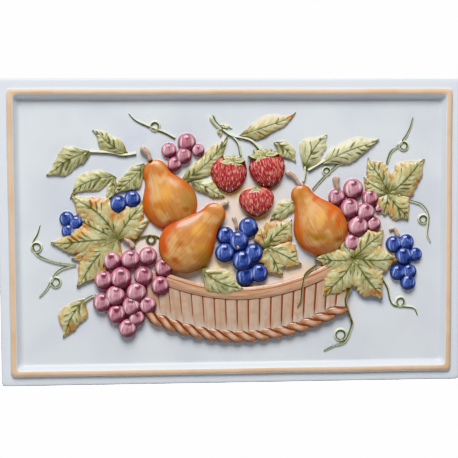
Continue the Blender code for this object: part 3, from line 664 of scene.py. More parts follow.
def paintTendril(tree, spot, hues):
    # pale green with one dark line drawn down the side its tone map names
    across = readMap(tree, "paint")[1]
    dark, side = readMap(tree, "tone")[:2]
    cloud = addNode(tree, "ShaderNodeTexNoise",
                    {0: spot, 2: 1 / hues["cloudSize"], 3: 2.0})
    line = addNode(tree, "ShaderNodeMath", (across, side, dark), operation="MULTIPLY_ADD")
    return layPaint(tree, hues, "tendril", ("green", cloud, 0.40, 0.62, 1.0),
                    ("overBasket", dark, 0.0, 0.1, 0.9), ("line", line, -0.10, 0.15, 0.92))


def paintStem(tree, spot, hues):
    # pinkish bark, grained along the stem and darker where it leaves the fruit
    along, _, place = readMap(tree, "paint")
    grain = brushMarks(tree, place, (0.25, 3.0, 1.0))
    return layPaint(tree, hues, "wood", ("grain", grain, 0.45, 0.65, 0.8),
                    ("foot", along, 3.0, 0.0, 0.7))


# Basket: thin terracotta washes with red-brown lines between the staves and strands

basketPaint = {
    "tan": "#c6ae9a",
    "wash": "#b8967a",
    "blush": "#c0967c",
    "pale": "#cac2b6",
    "line": "#85402c",
    "rim": "#c9a285",
    "rimDark": "#b88362",
    "rimLight": "#d8bca2",
    "rimLineAt": -0.42,      # across the rim, where a thin line is drawn along it
    "cloudSize": 7.69,
}
ropePaint = {"roughness": 0.25, "side": "#a87456", "crown": "#dcb8a0", "wash": "#b8967a",
             "line": "#6f3722"}


def paintStave(tree, spot, hues):
    # blotchy tan, pale at the foot, with a line down one side that starts under the band
    # and gives out above the rope
    across, up, place = readMap(tree, "paint")
    shade = readMap(tree, "tone")[0]
    seed = addNode(tree, "ShaderNodeMath", (shade, 50.0), operation="MULTIPLY")
    marks = brushMarks(tree, place, (1.6, 0.8, 1.0), seed)
    cloud = addNode(tree, "ShaderNodeTexNoise",
                    {0: spot, 2: 1 / hues["cloudSize"], 3: 2.0})
    foot = addNode(tree, "ShaderNodeMath", (marks, 0.9, up), operation="MULTIPLY_ADD")
    edge = addNode(tree, "ShaderNodeMapRange", (across, 0.60, 0.80, 0.0, 1.0))
    run = addNode(tree, "ShaderNodeMapRange", (foot, -0.38, 0.22, 0.0, 1.0))
    line = addNode(tree, "ShaderNodeMath", (edge, run), operation="MULTIPLY")
    return layPaint(tree, hues, "tan", ("wash", marks, 0.45, 0.70, 0.7),
                    ("wash", shade, 0.3, 1.2, 0.4), ("blush", cloud, 0.48, 0.64, 0.55),
                    ("wash", across, 0.0, 0.8, 0.6), ("pale", foot, 0.05, -0.45, 0.85),
                    ("line", line, 0.1, 0.8, 0.9))


def paintRim(tree, spot, hues):
    # brushed along its length, with a thin line and an outlined lower edge
    across, place = readMap(tree, "paint")[1:]
    marks = brushMarks(tree, place, (0.05, 4.0, 1.0))
    line = addNode(tree, "ShaderNodeMath", (across, hues["rimLineAt"]),
                   operation="SUBTRACT")
    thin = addNode(tree, "ShaderNodeMath", (line,), operation="ABSOLUTE")
    return layPaint(tree, hues, "rim", ("rimDark", marks, 0.46, 0.66, 0.85),
                    ("rimLight", marks, 0.44, 0.34, 0.6), ("line", thin, 0.10, 0.04, 0.75),
                    ("line", across, 0.80, 0.93, 0.85))


def paintRope(tree, spot, hues):
    # each strand is light on its crown, brown towards its sides and outlined above
    across, place = readMap(tree, "paint")[1:]
    shade = readMap(tree, "tone")[0]
    seed = addNode(tree, "ShaderNodeMath", (shade, 50.0), operation="MULTIPLY")
    marks = brushMarks(tree, place, (1.0, 3.5, 1.0), seed)
    far = addNode(tree, "ShaderNodeVectorMath", (place,), out=1, operation="LENGTH")
    return layPaint(tree, hues, "side", ("crown", far, 0.65, 0.15, 0.85),
                    ("wash", marks, 0.48, 0.66, 0.7), ("line", across, 0.44, 0.60, 0.95),
                    ("line", across, -0.62, -0.78, 0.85))


paints = {
    "field": mixPaint("white field", field, paintField),
    "bead": mixPaint("painted bead", field, paintBead),
    "bisque": makeBisque(),
    "leaf": mixPaint("painted leaf", leafPaint, paintLeaf, halo=True),
    "sepal": mixPaint("painted calyx", sepalPaint, paintSepal),
    "pear": mixPaint("painted pear", pearPaint, paintPear, halo=True),
    "strawberry": mixPaint("painted strawberry", strawberryPaint, paintStrawberry, halo=True),
    "seed": mixPaint("painted seed", strawberryPaint, paintSeed),
    "grape": mixPaint("painted grape", grapePaint, paintRoundFruit, halo=True),
    "berry": mixPaint("painted berry", berryPaint, paintRoundFruit, halo=True),
    "tendril": mixPaint("painted tendril", stemPaint, paintTendril),
    "stem": mixPaint("painted stem", stemPaint, paintStem),
    "stave": mixPaint("painted stave", basketPaint, paintStave),
    "rim": mixPaint("painted basket rim", basketPaint, paintRim),
    "rope": mixPaint("painted rope", ropePaint, paintRope),
}
print("paints are mixed")


# Forms of the relief. Each is a closed solid of its own until they are all united.
forms = bpy.data.collections.new("reliefForms")
bpy.context.scene.collection.children.link(forms)


def newForm(name, mesh, material, collection=forms):
    turnOutwards(mesh)
    mesh.materials.clear()
    mesh.materials.append(material)
    made = bpy.data.objects.new(name, mesh)
    collection.objects.link(made)
    return made


def turnOutwards(mesh):
    shell = bmesh.new()
    shell.from_mesh(mesh)
    bmesh.ops.recalc_face_normals(shell, faces=shell.faces)
    shell.to_mesh(mesh)
    shell.free()


def solidMesh(name, points, faces, rim, foot, paint, tone):
    # rim runs round the open edge and gets a straight wall and a flat back at foot.
    # The paint map holds a place on the form and the tone map two shades of its own.
    count = len(points)
    places = list(points) + [(points[n][0], points[n][1], foot) for n in rim]
    below = {n: count + k for k, n in enumerate(rim)}
    walls = [(a, b, below[b], below[a]) for a, b in zip(rim, rim[1:] + rim[:1])]
    back = [tuple(below[n] for n in reversed(rim))]
    mesh = bpy.data.meshes.new(name)
    mesh.from_pydata(places, [], list(faces) + walls + back)
    corners = [loop.vertex_index for loop in mesh.loops]
    for label, values in (("paint", paint), ("tone", tone)):
        values = list(values) + [values[n] for n in rim]
        layer = mesh.uv_layers.new(name=label)
        layer.data.foreach_set("uv", [c for n in corners for c in values[n]])
    return mesh


def spindleFaces(stations, crosses):
    # a point at each end and rows of crosses between them; returns faces and rim
    last = 1 + stations * crosses
    row = [[1 + s * crosses + c for c in range(crosses)] for s in range(stations)]
    faces = [(0, row[0][c + 1], row[0][c]) for c in range(crosses - 1)]
    for here, after in zip(row, row[1:]):
        faces += [(here[c], here[c + 1], after[c + 1], after[c])
                  for c in range(crosses - 1)]
    faces += [(last, row[-1][c], row[-1][c + 1]) for c in range(crosses - 1)]
    rim = [0] + [r[0] for r in row] + [last] + [r[-1] for r in reversed(row)]
    return faces, rim


def addSpindle(name, ends, width, height, tone, material, stations=24, crosses=11,
               bend=0.0, hook=0.0, skew=None, even=False):
    # width(s) is the half width, height(s, t) the level and tone(s, t) the two shades,
    # with s along and t across. skew(s) swells one side by that share and thins the other,
    # and bend and hook carry the middle and the tip aside
    base, tip = Vector(ends[0]), Vector(ends[1])
    run = tip - base
    across = Vector((-run.y, run.x)).normalized()
    points, paint, tones = [], [], []

    def place(s, t):
        aside = 4 * s * (1 - s) * bend * run.length + hook * max(0.0, 4 * s - 3) ** 2
        middle = base + run * s + across * aside
        swell = 1 + skew(s) * t if skew else 1.0
        spot = middle + across * (width(s) * t * swell)
        points.append((spot.x, spot.y, tile["fieldDepth"] + height(s, t)))
        paint.append((s, t))
        tones.append(tone(s, t))

    place(0.0, 0.0)
    for station in range(stations):
        share = (station + 1) / (stations + 1)
        s = share if even else (1 - math.cos(math.pi * share)) / 2
        for cross in range(crosses):
            place(s, math.sin(math.pi * (cross / (crosses - 1) - 0.5)))
    place(1.0, 0.0)
    faces, rim = spindleFaces(stations, crosses)
    foot = (tile["fieldDepth"] - tile["rootDepth"]
            - tile["rootStep"] * (len(forms.objects) % tile["rootLevels"]))
    mesh = solidMesh(name, points, faces, rim, foot, paint, tones)
    return newForm(name, mesh, material)


# Slab: a grid for the field, carried out through the cove, bead and rim in rings

def rimProfile():
    # inset, depth and share of sway from the back edge to the edge of the field, and the
    # first and last row of the bead
    flat, edge = tile["flangeDepth"], tile["edgeRound"]
    rows = [(0.0, 0.0, 0), (0.0, flat / 3, 0), (0.0, flat - edge, 0)]
    for step in range(1, tile["edgeSteps"] + 1):
        angle = math.pi / 2 * step / tile["edgeSteps"]
        rows.append((edge * (1 - math.cos(angle)), flat - edge * (1 - math.sin(angle)), 0))
    half, steps = tile["beadWidth"] / 2, tile["beadSteps"]
    for share in (0.33, 0.67):
        rows.append((edge + (tile["beadInset"] - half - edge) * share, flat, share))
    beadRows = len(rows), len(rows) + steps
    shoulder = tile["fieldDepth"] + tile["coveTop"]
    for step in range(steps + 1):
        angle = math.pi * step / steps
        beadFoot = flat if step <= steps / 2 else shoulder
        rise = flat + tile["beadRise"] - beadFoot
        rows.append((tile["beadInset"] - half * math.cos(angle),
                     beadFoot + rise * math.sin(angle), 1))
    for step in range(1, tile["coveSteps"] + 1):
        share = step / tile["coveSteps"]
        hollow = tile["coveTop"] * (1 - share) ** tile["covePower"]
        rows.append((tile["beadInset"] + half + tile["coveWidth"] * share,
                     tile["fieldDepth"] + hollow, 1 - share))
    return rows, beadRows


def ringPoint(acrossShare, upShare, inset, depth, sway):
    # the corners are round: a point near one is pulled onto an arc
    reachX, reachY = halfWidth - inset, halfHeight - inset
    x, y = acrossShare * reachX, upShare * reachY
    heldX = max(-reachX + tile["cornerRound"], min(reachX - tile["cornerRound"], x))
    heldY = max(-reachY + tile["cornerRound"], min(reachY - tile["cornerRound"], y))
    out = Vector((x - heldX, y - heldY))
    wander = sway * tile["sway"] * noise.noise((x / tile["swayLength"],
                                                y / tile["swayLength"], 3.0))
    if out.length > 0:
        out = out.normalized() * (tile["cornerRound"] + wander)
    return heldX + out.x, heldY + out.y, depth - tile["swayDip"] * abs(wander)


def gridShares(cells, half):
    # even cells, and short ones at the ends for the round corners
    short = tile["cornerCell"] / half
    inner = [-1 + 3 * short + (2 - 6 * short) * n / (cells - 4) for n in range(cells - 3)]
    return [-1.0, -1 + short] + inner + [1 - short, 1.0]


def makeSlab(paints):
    acrossShares = gridShares(tile["acrossCells"], halfWidth)
    upShares = gridShares(tile["upCells"], halfHeight)
    nX, nY = len(acrossShares), len(upShares)
    border = ([(i, 0) for i in range(nX)] + [(nX - 1, j) for j in range(1, nY)]
              + [(i, nY - 1) for i in range(nX - 2, -1, -1)]
              + [(0, j) for j in range(nY - 2, 0, -1)])
    ring = len(border)
    rows, (beadFirst, beadLast) = rimProfile()
    points = [ringPoint(acrossShares[i], upShares[j], *row) for row in rows
              for i, j in border]
    faces = [tuple(range(ring))]
    for level in range(len(rows) - 1):
        for n in range(ring):
            a, b = level * ring + n, level * ring + (n + 1) % ring
            faces.append((a, b, b + ring, a + ring))
    fieldX, fieldY = halfWidth - rows[-1][0], halfHeight - rows[-1][0]
    index = {key: (len(rows) - 1) * ring + n for n, key in enumerate(border)}
    for i in range(1, nX - 1):
        for j in range(1, nY - 1):
            index[i, j] = len(points)
            x, y = acrossShares[i] * fieldX, upShares[j] * fieldY
            calm = min(1.0, (fieldX - abs(x)) / tile["calmEdge"],
                       (fieldY - abs(y)) / tile["calmEdge"])
            swell = tile["fieldSwell"] * calm * noise.noise(
                (x / tile["swellLength"], y / tile["swellLength"], 0.5))
            points.append((x, y, tile["fieldDepth"] + swell))
    faces += [(index[i, j], index[i + 1, j], index[i + 1, j + 1], index[i, j + 1])
              for i in range(nX - 1) for j in range(nY - 1)]
    mesh = bpy.data.meshes.new("slab")
    mesh.from_pydata(points, [], faces)
    # the paint map runs from -1 to 1 across the bead
    middle = (beadFirst + beadLast) / 2
    across = [(loop.vertex_index // ring - middle) / (beadLast - middle)
              for loop in mesh.loops]
    mesh.uv_layers.new(name="paint").data.foreach_set(
        "uv", [c for share in across for c in (0.0, min(1.0, max(-1.0, share)))])
    mesh.uv_layers.new(name="tone")
    made = newForm("glazedTile", mesh, paints["field"], bpy.context.scene.collection)
    mesh.materials.append(paints["bead"])
    mesh.materials.append(paints["bisque"])
    mesh.polygons[0].material_index = 2
    for level in range(beadFirst, beadLast):
        for n in range(ring):
            mesh.polygons[1 + level * ring + n].material_index = 1
    return made


# Grooves across the back, which key the tile to its mortar. None crosses the middle land

groove = {"width": 6.0, "depth": 1.2, "pitch": 34.0, "perSide": 4, "margin": 20.0,
          "land": 60.0}


def makeGrooves(material):
    cutters = bpy.data.collections.new("grooveCutters")
    bpy.context.scene.collection.children.link(cutters)
    for side in (-1, 1):
        for row in range(groove["perSide"]):
            up = side * (groove["land"] / 2 + groove["width"] / 2 + groove["pitch"] * row)
            shell = bmesh.new()
            bmesh.ops.create_cube(shell, size=1.0)
            size = (2 * (halfWidth - groove["margin"]), groove["width"], 2 * groove["depth"])
            bmesh.ops.scale(shell, vec=size, verts=shell.verts)
            bmesh.ops.translate(shell, vec=(0, up, 0), verts=shell.verts)
            mesh = bpy.data.meshes.new("groove")
            shell.to_mesh(mesh)
            shell.free()
            newForm("groove", mesh, material, cutters)
    return cutters


def joinSolids(main, others, operation):
    join = main.modifiers.new(operation.title(), "BOOLEAN")
    join.operation = operation
    join.operand_type = "COLLECTION"
    join.collection = others
    join.solver = "MANIFOLD"
    join.material_mode = "TRANSFER"
    graph = bpy.context.evaluated_depsgraph_get()
    whole = bpy.data.meshes.new_from_object(main.evaluated_get(graph))
    main.modifiers.clear()
    main.data = whole
    for other in list(others.objects):
        bpy.data.objects.remove(other, do_unlink=True)
    bpy.data.collections.remove(others)


# Two node trees make what repeats: one sets a moulded form on each point, and one lays
# a bar along a route. Their results are cut into loose solids for the union.

def newTree(name, sockets):
    tree = bpy.data.node_groups.new(name, "GeometryNodeTree")
    for label, kind in sockets:
        tree.interface.new_socket(label, in_out="INPUT", socket_type=kind)
    tree.interface.new_socket("Geometry", in_out="OUTPUT", socket_type="NodeSocketGeometry")
    return tree, tree.nodes.new("NodeGroupInput").outputs


def closeTree(tree, geometry, maps, material):
    # stores the values as maps, paints the result and hands it out
    for label, value in maps.items():
        geometry = addNode(tree, "GeometryNodeStoreNamedAttribute",
                           {"Geometry": geometry, "Name": label, "Value": value},
                           data_type="FLOAT2", domain="CORNER")
    painted = addNode(tree, "GeometryNodeSetMaterial", {"Geometry": geometry,
                                                        "Material": material})
    addNode(tree, "NodeGroupOutput", (painted,))


def mouldTree():
    tree, given = newTree("setForms", (
        ("Geometry", "NodeSocketGeometry"), ("Mould", "NodeSocketObject"),
        ("Material", "NodeSocketMaterial")))
    mould = addNode(tree, "GeometryNodeObjectInfo", {"Object": given["Mould"]}, out=4)
    size, turn, shade = [
        addNode(tree, "GeometryNodeInputNamedAttribute", (label,), data_type=kind)
        for label, kind in (("size", "FLOAT_VECTOR"), ("turn", "FLOAT"),
                            ("shade", "FLOAT_VECTOR"))]
    spin = addNode(tree, "ShaderNodeCombineXYZ", {"Z": turn})
    spun = addNode(tree, "FunctionNodeEulerToRotation", (spin,))
    # the shade is caught on the points, so that each form carries its own
    caught = addNode(tree, "GeometryNodeStoreNamedAttribute",
                     {"Geometry": given["Geometry"], "Name": "shade", "Value": shade},
                     data_type="FLOAT_VECTOR", domain="POINT")
    placed = addNode(tree, "GeometryNodeInstanceOnPoints",
                     {"Points": caught, "Instance": mould, "Rotation": spun, "Scale": size})
    real = addNode(tree, "GeometryNodeRealizeInstances", (placed,))
    closeTree(tree, real, {"tone": shade}, given["Material"])
    return tree


def runTree(name, tree, mesh, values):
    holder = bpy.data.objects.new(name, mesh)
    bpy.context.scene.collection.objects.link(holder)
    live = holder.modifiers.new(tree.name, "NODES")
    live.node_group = tree
    for socket in tree.interface.items_tree:
        if socket.in_out == "INPUT" and socket.name in values:
            live[socket.identifier] = values[socket.name]
    graph = bpy.context.evaluated_depsgraph_get()
    result = bpy.data.meshes.new_from_object(holder.evaluated_get(graph))
    bpy.data.objects.remove(holder, do_unlink=True)
    return result


def takeApart(name, mesh):
    # one object for each loose solid, with its maps kept
    turnOutwards(mesh)
    whole = bpy.data.objects.new(name, mesh)
    forms.objects.link(whole)
    bpy.ops.object.select_all(action="DESELECT")
    whole.select_set(True)
    bpy.context.view_layer.objects.active = whole
    bpy.ops.object.mode_set(mode="EDIT")
    bpy.ops.mesh.select_all(action="SELECT")
    bpy.ops.mesh.separate(type="LOOSE")
    bpy.ops.object.mode_set(mode="OBJECT")


def setForms(name, tree, mould, rows, material):
    # each row is x, y, z, then the size along x, y and z, the turn and two shades
    mesh = bpy.data.meshes.new(name)
    mesh.from_pydata([row[:3] for row in rows], [], [])
    for label, kind, member, values in (
            ("size", "FLOAT_VECTOR", "vector", [c for row in rows for c in row[3:6]]),
            ("turn", "FLOAT", "value", [row[6] for row in rows]),
            ("shade", "FLOAT_VECTOR", "vector", [c for row in rows
                                                 for c in (row[7], row[8], 0.0)])):
        mesh.attributes.new(label, kind, "POINT").data.foreach_set(member, values)
    takeApart(name, runTree(name, tree, mesh, {"Mould": mould, "Material": material}))


def domeMould(name, sides, rings, foot, sway=0.0):
    # half a ball of radius one on a straight wall, for fruit, seeds and strands. With sway
    # its two ends along X turn aside, opposite ways
    points, paint, faces = [(0.0, 0.0, 1.0)], [(0.0, 0.0)], []
    for ring in range(1, rings + 1):
        lift = math.pi / 2 * ring / rings
        for side in range(sides):
            angle = 2 * math.pi * side / sides
            x, y = math.sin(lift) * math.cos(angle), math.sin(lift) * math.sin(angle)
            points.append((x, y + sway * x ** 3, math.cos(lift)))
            paint.append((x, y))
    for side in range(sides):
        after = (side + 1) % sides
        faces.append((0, 1 + side, 1 + after))
        for ring in range(rings - 1):
            a, b = 1 + ring * sides + side, 1 + ring * sides + after
            faces.append((a, a + sides, b + sides, b))
    rim = [1 + (rings - 1) * sides + side for side in range(sides)]
    mesh = solidMesh(name, points, faces, rim, foot, paint, [(0.0, 0.0)] * len(points))
    turnOutwards(mesh)
    return bpy.data.objects.new(name, mesh)


def staveMould(name, columns, rows, crown, foot):
    # a board two wide and two long whose long edges are rounded down
    points, paint, faces = [], [], []
    for row in range(rows + 1):
        for column in range(columns + 1):
            x = math.sin(math.pi / 2 * (2 * column / columns - 1))
            y = 2 * row / rows - 1
            points.append((x, y, 1 - crown * abs(x) ** 4))
            paint.append((x, y))
    width = columns + 1
    faces = [(a, a + 1, a + 1 + width, a + width) for a in
             (row * width + column for row in range(rows) for column in range(columns))]
    rim = list(range(width)) + [width * (r + 1) - 1 for r in range(1, rows)]
    rim += list(range(width * (rows + 1) - 1, width * rows - 1, -1))
    rim += [width * r for r in range(rows - 1, 0, -1)]
    mesh = solidMesh(name, points, faces, rim, foot, paint, [(0.0, 0.0)] * len(points))
    turnOutwards(mesh)
    return bpy.data.objects.new(name, mesh)


def routeTree():
    tree, given = newTree("layBars", (
        ("Geometry", "NodeSocketGeometry"), ("Section", "NodeSocketObject"),
        ("Half Width", "NodeSocketFloat"), ("Rise", "NodeSocketFloat"),
        ("Foot", "NodeSocketFloat"), ("Material", "NodeSocketMaterial")))
    route = addNode(tree, "GeometryNodeMeshToCurve", (given["Geometry"],))
    upright = addNode(tree, "GeometryNodeSetCurveNormal", (route,), mode="Z_UP")
    length = addNode(tree, "GeometryNodeSplineParameter", out=1)
    measured = addNode(tree, "GeometryNodeStoreNamedAttribute",
                       {"Geometry": upright, "Name": "along", "Value": length},
                       data_type="FLOAT", domain="POINT")
    # the section is an arch one wide and one high on feet one deep, and its -Y is up
    section = addNode(tree, "GeometryNodeObjectInfo", {"Object": given["Section"]}, out=4)
    arch = addNode(tree, "GeometryNodeMeshToCurve", (section,))
    spot = addNode(tree, "GeometryNodeInputPosition")
    parts = addNode(tree, "ShaderNodeSeparateXYZ", (spot,)).node.outputs
    spread = addNode(tree, "ShaderNodeMath", (parts["X"], given["Half Width"]),
                     operation="MULTIPLY")
    over = addNode(tree, "ShaderNodeMath", (parts["Y"], 0.0), operation="MINIMUM")
    under = addNode(tree, "ShaderNodeMath", (parts["Y"], 0.0), operation="MAXIMUM")
    lifted = addNode(tree, "ShaderNodeMath", (over, given["Rise"]), operation="MULTIPLY")
    sunk = addNode(tree, "ShaderNodeMath", (under, given["Foot"], lifted),
                   operation="MULTIPLY_ADD")
    sized = addNode(tree, "ShaderNodeCombineXYZ", (spread, sunk))
    shaped = addNode(tree, "GeometryNodeSetPosition", {"Geometry": arch, "Position": sized})
    thick, along, across, shade = [
        addNode(tree, "GeometryNodeInputNamedAttribute", (label,), data_type=kind)
        for label, kind in (("thick", "FLOAT"), ("along", "FLOAT"), ("across", "FLOAT"),
                            ("shade", "FLOAT_VECTOR"))]
    bar = addNode(tree, "GeometryNodeCurveToMesh",
                  {"Curve": measured, "Profile Curve": shaped, "Scale": thick,
                   "Fill Caps": True})
    place = addNode(tree, "ShaderNodeCombineXYZ", (along, across))
    closeTree(tree, bar, {"paint": place, "tone": shade}, given["Material"])
    return tree


def barSection(name, sides):
    points = [(-math.cos(math.pi * n / sides), -math.sin(math.pi * n / sides), 0.0)
              for n in range(sides + 1)]
    points += [(1.0, 1.0, 0.0), (-1.0, 1.0, 0.0)]
    count = len(points)
    mesh = bpy.data.meshes.new(name)
    mesh.from_pydata(points, [(n, (n + 1) % count) for n in range(count)], [])
    across = mesh.attributes.new("across", "FLOAT", "POINT")
    across.data.foreach_set("value", [point[0] for point in points])
    return bpy.data.objects.new(name, mesh)


def layBars(name, tree, section, routes, sizes, material):
    # each route is its points (x, y, level), the thickness at each, closed or not, a shade
    places, edges, thick, shades = [], [], [], []
    for points, widths, closed, shade in routes:
        first = len(places)
        places += [(x, y, tile["fieldDepth"] + level) for x, y, level in points]
        edges += [(first + n, first + n + 1) for n in range(len(points) - 1)]
        if closed:
            edges.append((first + len(points) - 1, first))
        thick += widths
        shades += [c for _ in points for c in (shade[0], shade[1], 0.0)]
    mesh = bpy.data.meshes.new(name)
    mesh.from_pydata(places, edges, [])
    mesh.attributes.new("thick", "FLOAT", "POINT").data.foreach_set("value", thick)
    mesh.attributes.new("shade", "FLOAT_VECTOR", "POINT").data.foreach_set("vector", shades)
    values = {"Section": section, "Half Width": sizes[0], "Rise": sizes[1],
              "Foot": sizes[2], "Material": material}
    bars = runTree(name, tree, mesh, values)
    weld = bmesh.new()
    weld.from_mesh(bars)
    bmesh.ops.remove_doubles(weld, verts=weld.verts, dist=0.001)
    weld.to_mesh(bars)
    weld.free()
    takeApart(name, bars)


def smoothRoute(points, step):
    # even points along a smooth curve through the given ones
    points = [Vector(point) for point in points]
    padded = [2 * points[0] - points[1], *points, 2 * points[-1] - points[-2]]
    route = [points[0]]
    for a, b, c, d in zip(padded, padded[1:], padded[2:], padded[3:]):
        pieces = max(1, round((c - b).length / step))
        for piece in range(1, pieces + 1):
            t = piece / pieces
            route.append(0.5 * (2 * b + (c - a) * t + (2 * a - 5 * b + 4 * c - d) * t ** 2
                                + (3 * b - a - 3 * c + d) * t ** 3))
    return route


# Leaves: pointed pads with a pressed middle vein, side veins and a toothed edge

leaves = {
    "crown": 0.14,           # rise of the middle, as a share of the width
    "stub": 0.10,            # width at the very ends, as a share
    "belly": 0.85,           # below 1 the widest place moves towards the base
    "lobeBelly": 0.85,       # the same for a lobe of a vine leaf
    "rollOff": 0.6,          # how far the edge rounds down
    "rollPower": 6,          # and how late
    "veinDepth": 0.65,
    "veinWidth": 0.9,
    "sideVeinPitch": 7.5,
    "sideVeinRise": 0.5,
    "sideVeinWander": 0.22,  # how unevenly they follow each other
    "wanderWaves": 11.0,     # waves of this, of the skew and of the buckle, in radians
    "wanderShift": 2.4,      # so that the two halves differ
    "seedTurn": 6.0,         # how far apart these waves start from leaf to leaf
    "sideVeinSweep": 1.25,   # how far forward a side vein runs for each mm outwards
    "toothDepth": 0.07,
    "lobeTooth": 0.13,
    "toothShift": 0.6,       # where the teeth stand between the side veins
    "toothNotch": 0.6,       # share of a tooth's depth that is cut into the even edge
    "toothLean": 1.4,        # above 1 they lean towards the tip
    "baseDraw": 0.45,        # how much the first quarter of a plain leaf narrows
    "tipDraw": 0.6,          # how much the last quarter narrows to a drawn-out tip
    "tipPower": 0.7,
    "lobeHook": 3.2,         # mm that the tip of a lobe turns to the side it bends to
    "lobeDrop": 0.5,         # mm that the straight lobes lie below the others
    "skew": 0.15,            # how unevenly the two sides swell
    "skewWaves": 10.0,
    "buckle": 0.6,
    "buckleWaves": 7.0,
    "station": 1.05,         # mm from one row of points to the next
    "small": 10.0,           # leaves narrower than this need fewer points across
}
# base x, y, tip x, y, width, sideways bend, turn of the tip in mm, level, autumn tint
plainLeaves = (
    (-101.5, 77.0, -134.5, 103.0, 18.0, 0.08, 3.5, 2.2, 0.10),
    (-138.0, 80.0, -180.0, 54.0, 23.0, -0.08, -3.0, 2.4, 0.05),
    (-113.5, 54.5, -160.0, 36.5, 20.0, -0.12, 3.0, 2.0, 0.10),
    (-116.0, 56.0, -126.0, 30.0, 9.0, 0.10, 2.0, 3.2, 0.0),
    (-86.0, 68.0, -117.0, 38.5, 19.0, 0.06, 1.0, 3.0, 0.0),
    (6.5, 93.5, 64.5, 113.5, 18.0, 0.01, 4.5, 2.2, 0.70),
    (-52.0, 48.0, -2.0, 95.0, 18.0, -0.06, 3.0, 2.6, 0.35),
    (-41.0, 49.5, -9.0, 32.0, 15.0, 0.08, 3.0, 3.0, 0.0),
    (41.0, 88.0, 62.5, 67.5, 15.0, 0.10, 1.0, 2.4, 0.15),
    (71.5, 61.0, 94.0, 95.5, 25.0, 0.09, 0.0, 2.4, 0.0),
    (88.0, 66.0, 147.0, 88.0, 21.0, 0.05, 3.2, 3.0, 0.05),
    (63.0, 31.0, 35.5, 13.0, 16.0, 0.05, 3.2, 2.2, 0.10),
    (-31.0, -36.0, 11.0, -55.5, 26.0, -0.10, -1.0, 8.5, 0.25),
    (-145.0, -65.0, -165.0, -104.0, 24.0, -0.10, -3.2, 2.6, 0.60),
    (-13.0, 104.0, -11.0, 93.0, 5.0, 0.0, -1.0, 2.0, 0.0),
    (-13.0, 104.0, 0.0, 101.0, 4.0, 0.10, 0.9, 2.0, 0.0),
)
# centre x, y, level and tint, then the lobes: tip x, y, width, bend, the low ones first
vineLeaves = (
    ((-113.5, -6.0, 3.5, 0.8), (
        (-151.0, 13.0, 30.0, 0.0), (-157.0, -28.0, 30.0, 0.0),
        (-122.0, 29.0, 24.0, 0.0), (-126.0, -34.0, 22.0, 0.0),
        (-97.0, 27.0, 22.0, 0.0), (-160.0, 34.5, 32.0, -0.12),
        (-178.0, -12.0, 32.0, -0.02), (-151.0, -55.0, 30.0, -0.08),
        (-85.5, 30.0, 28.0, 0.04), (-80.0, 11.0, 18.0, 0.05))),
    ((155.0, 36.0, 2.6, 0.7), (
        (154.0, 51.0, 14.0, 0.0), (171.0, 37.0, 18.0, 0.0), (163.0, 13.0, 22.0, 0.0),
        (129.0, 51.0, 26.0, 0.0), (132.0, 71.0, 25.0, -0.05),
        (189.5, 73.0, 30.0, -0.05), (177.5, 12.0, 27.0, -0.06),
        (149.0, 15.0, 22.0, 0.03))),
    ((33.0, -16.0, 4.5, 0.9), (
        (48.0, -18.0, 16.0, 0.0), (40.0, -38.0, 20.0, 0.0), (61.0, 9.5, 28.0, 0.08),
        (27.5, 5.5, 15.0, 0.04), (67.0, -35.0, 27.0, 0.06), (47.0, -44.5, 25.0, 0.04))),
    ((121.0, -27.0, 5.5, 0.6), (
        (144.0, -42.0, 20.0, 0.0), (121.0, -47.0, 20.0, 0.0), (91.0, -43.0, 24.0, 0.0),
        (137.0, -6.0, 20.0, 0.0), (152.0, -2.0, 26.0, 0.06), (165.0, -27.0, 29.0, -0.05),
        (151.5, -67.0, 33.0, -0.06), (87.0, -63.5, 31.0, 0.06),
        (81.5, -24.5, 25.0, 0.08), (107.0, -8.0, 13.0, 0.02))),
)


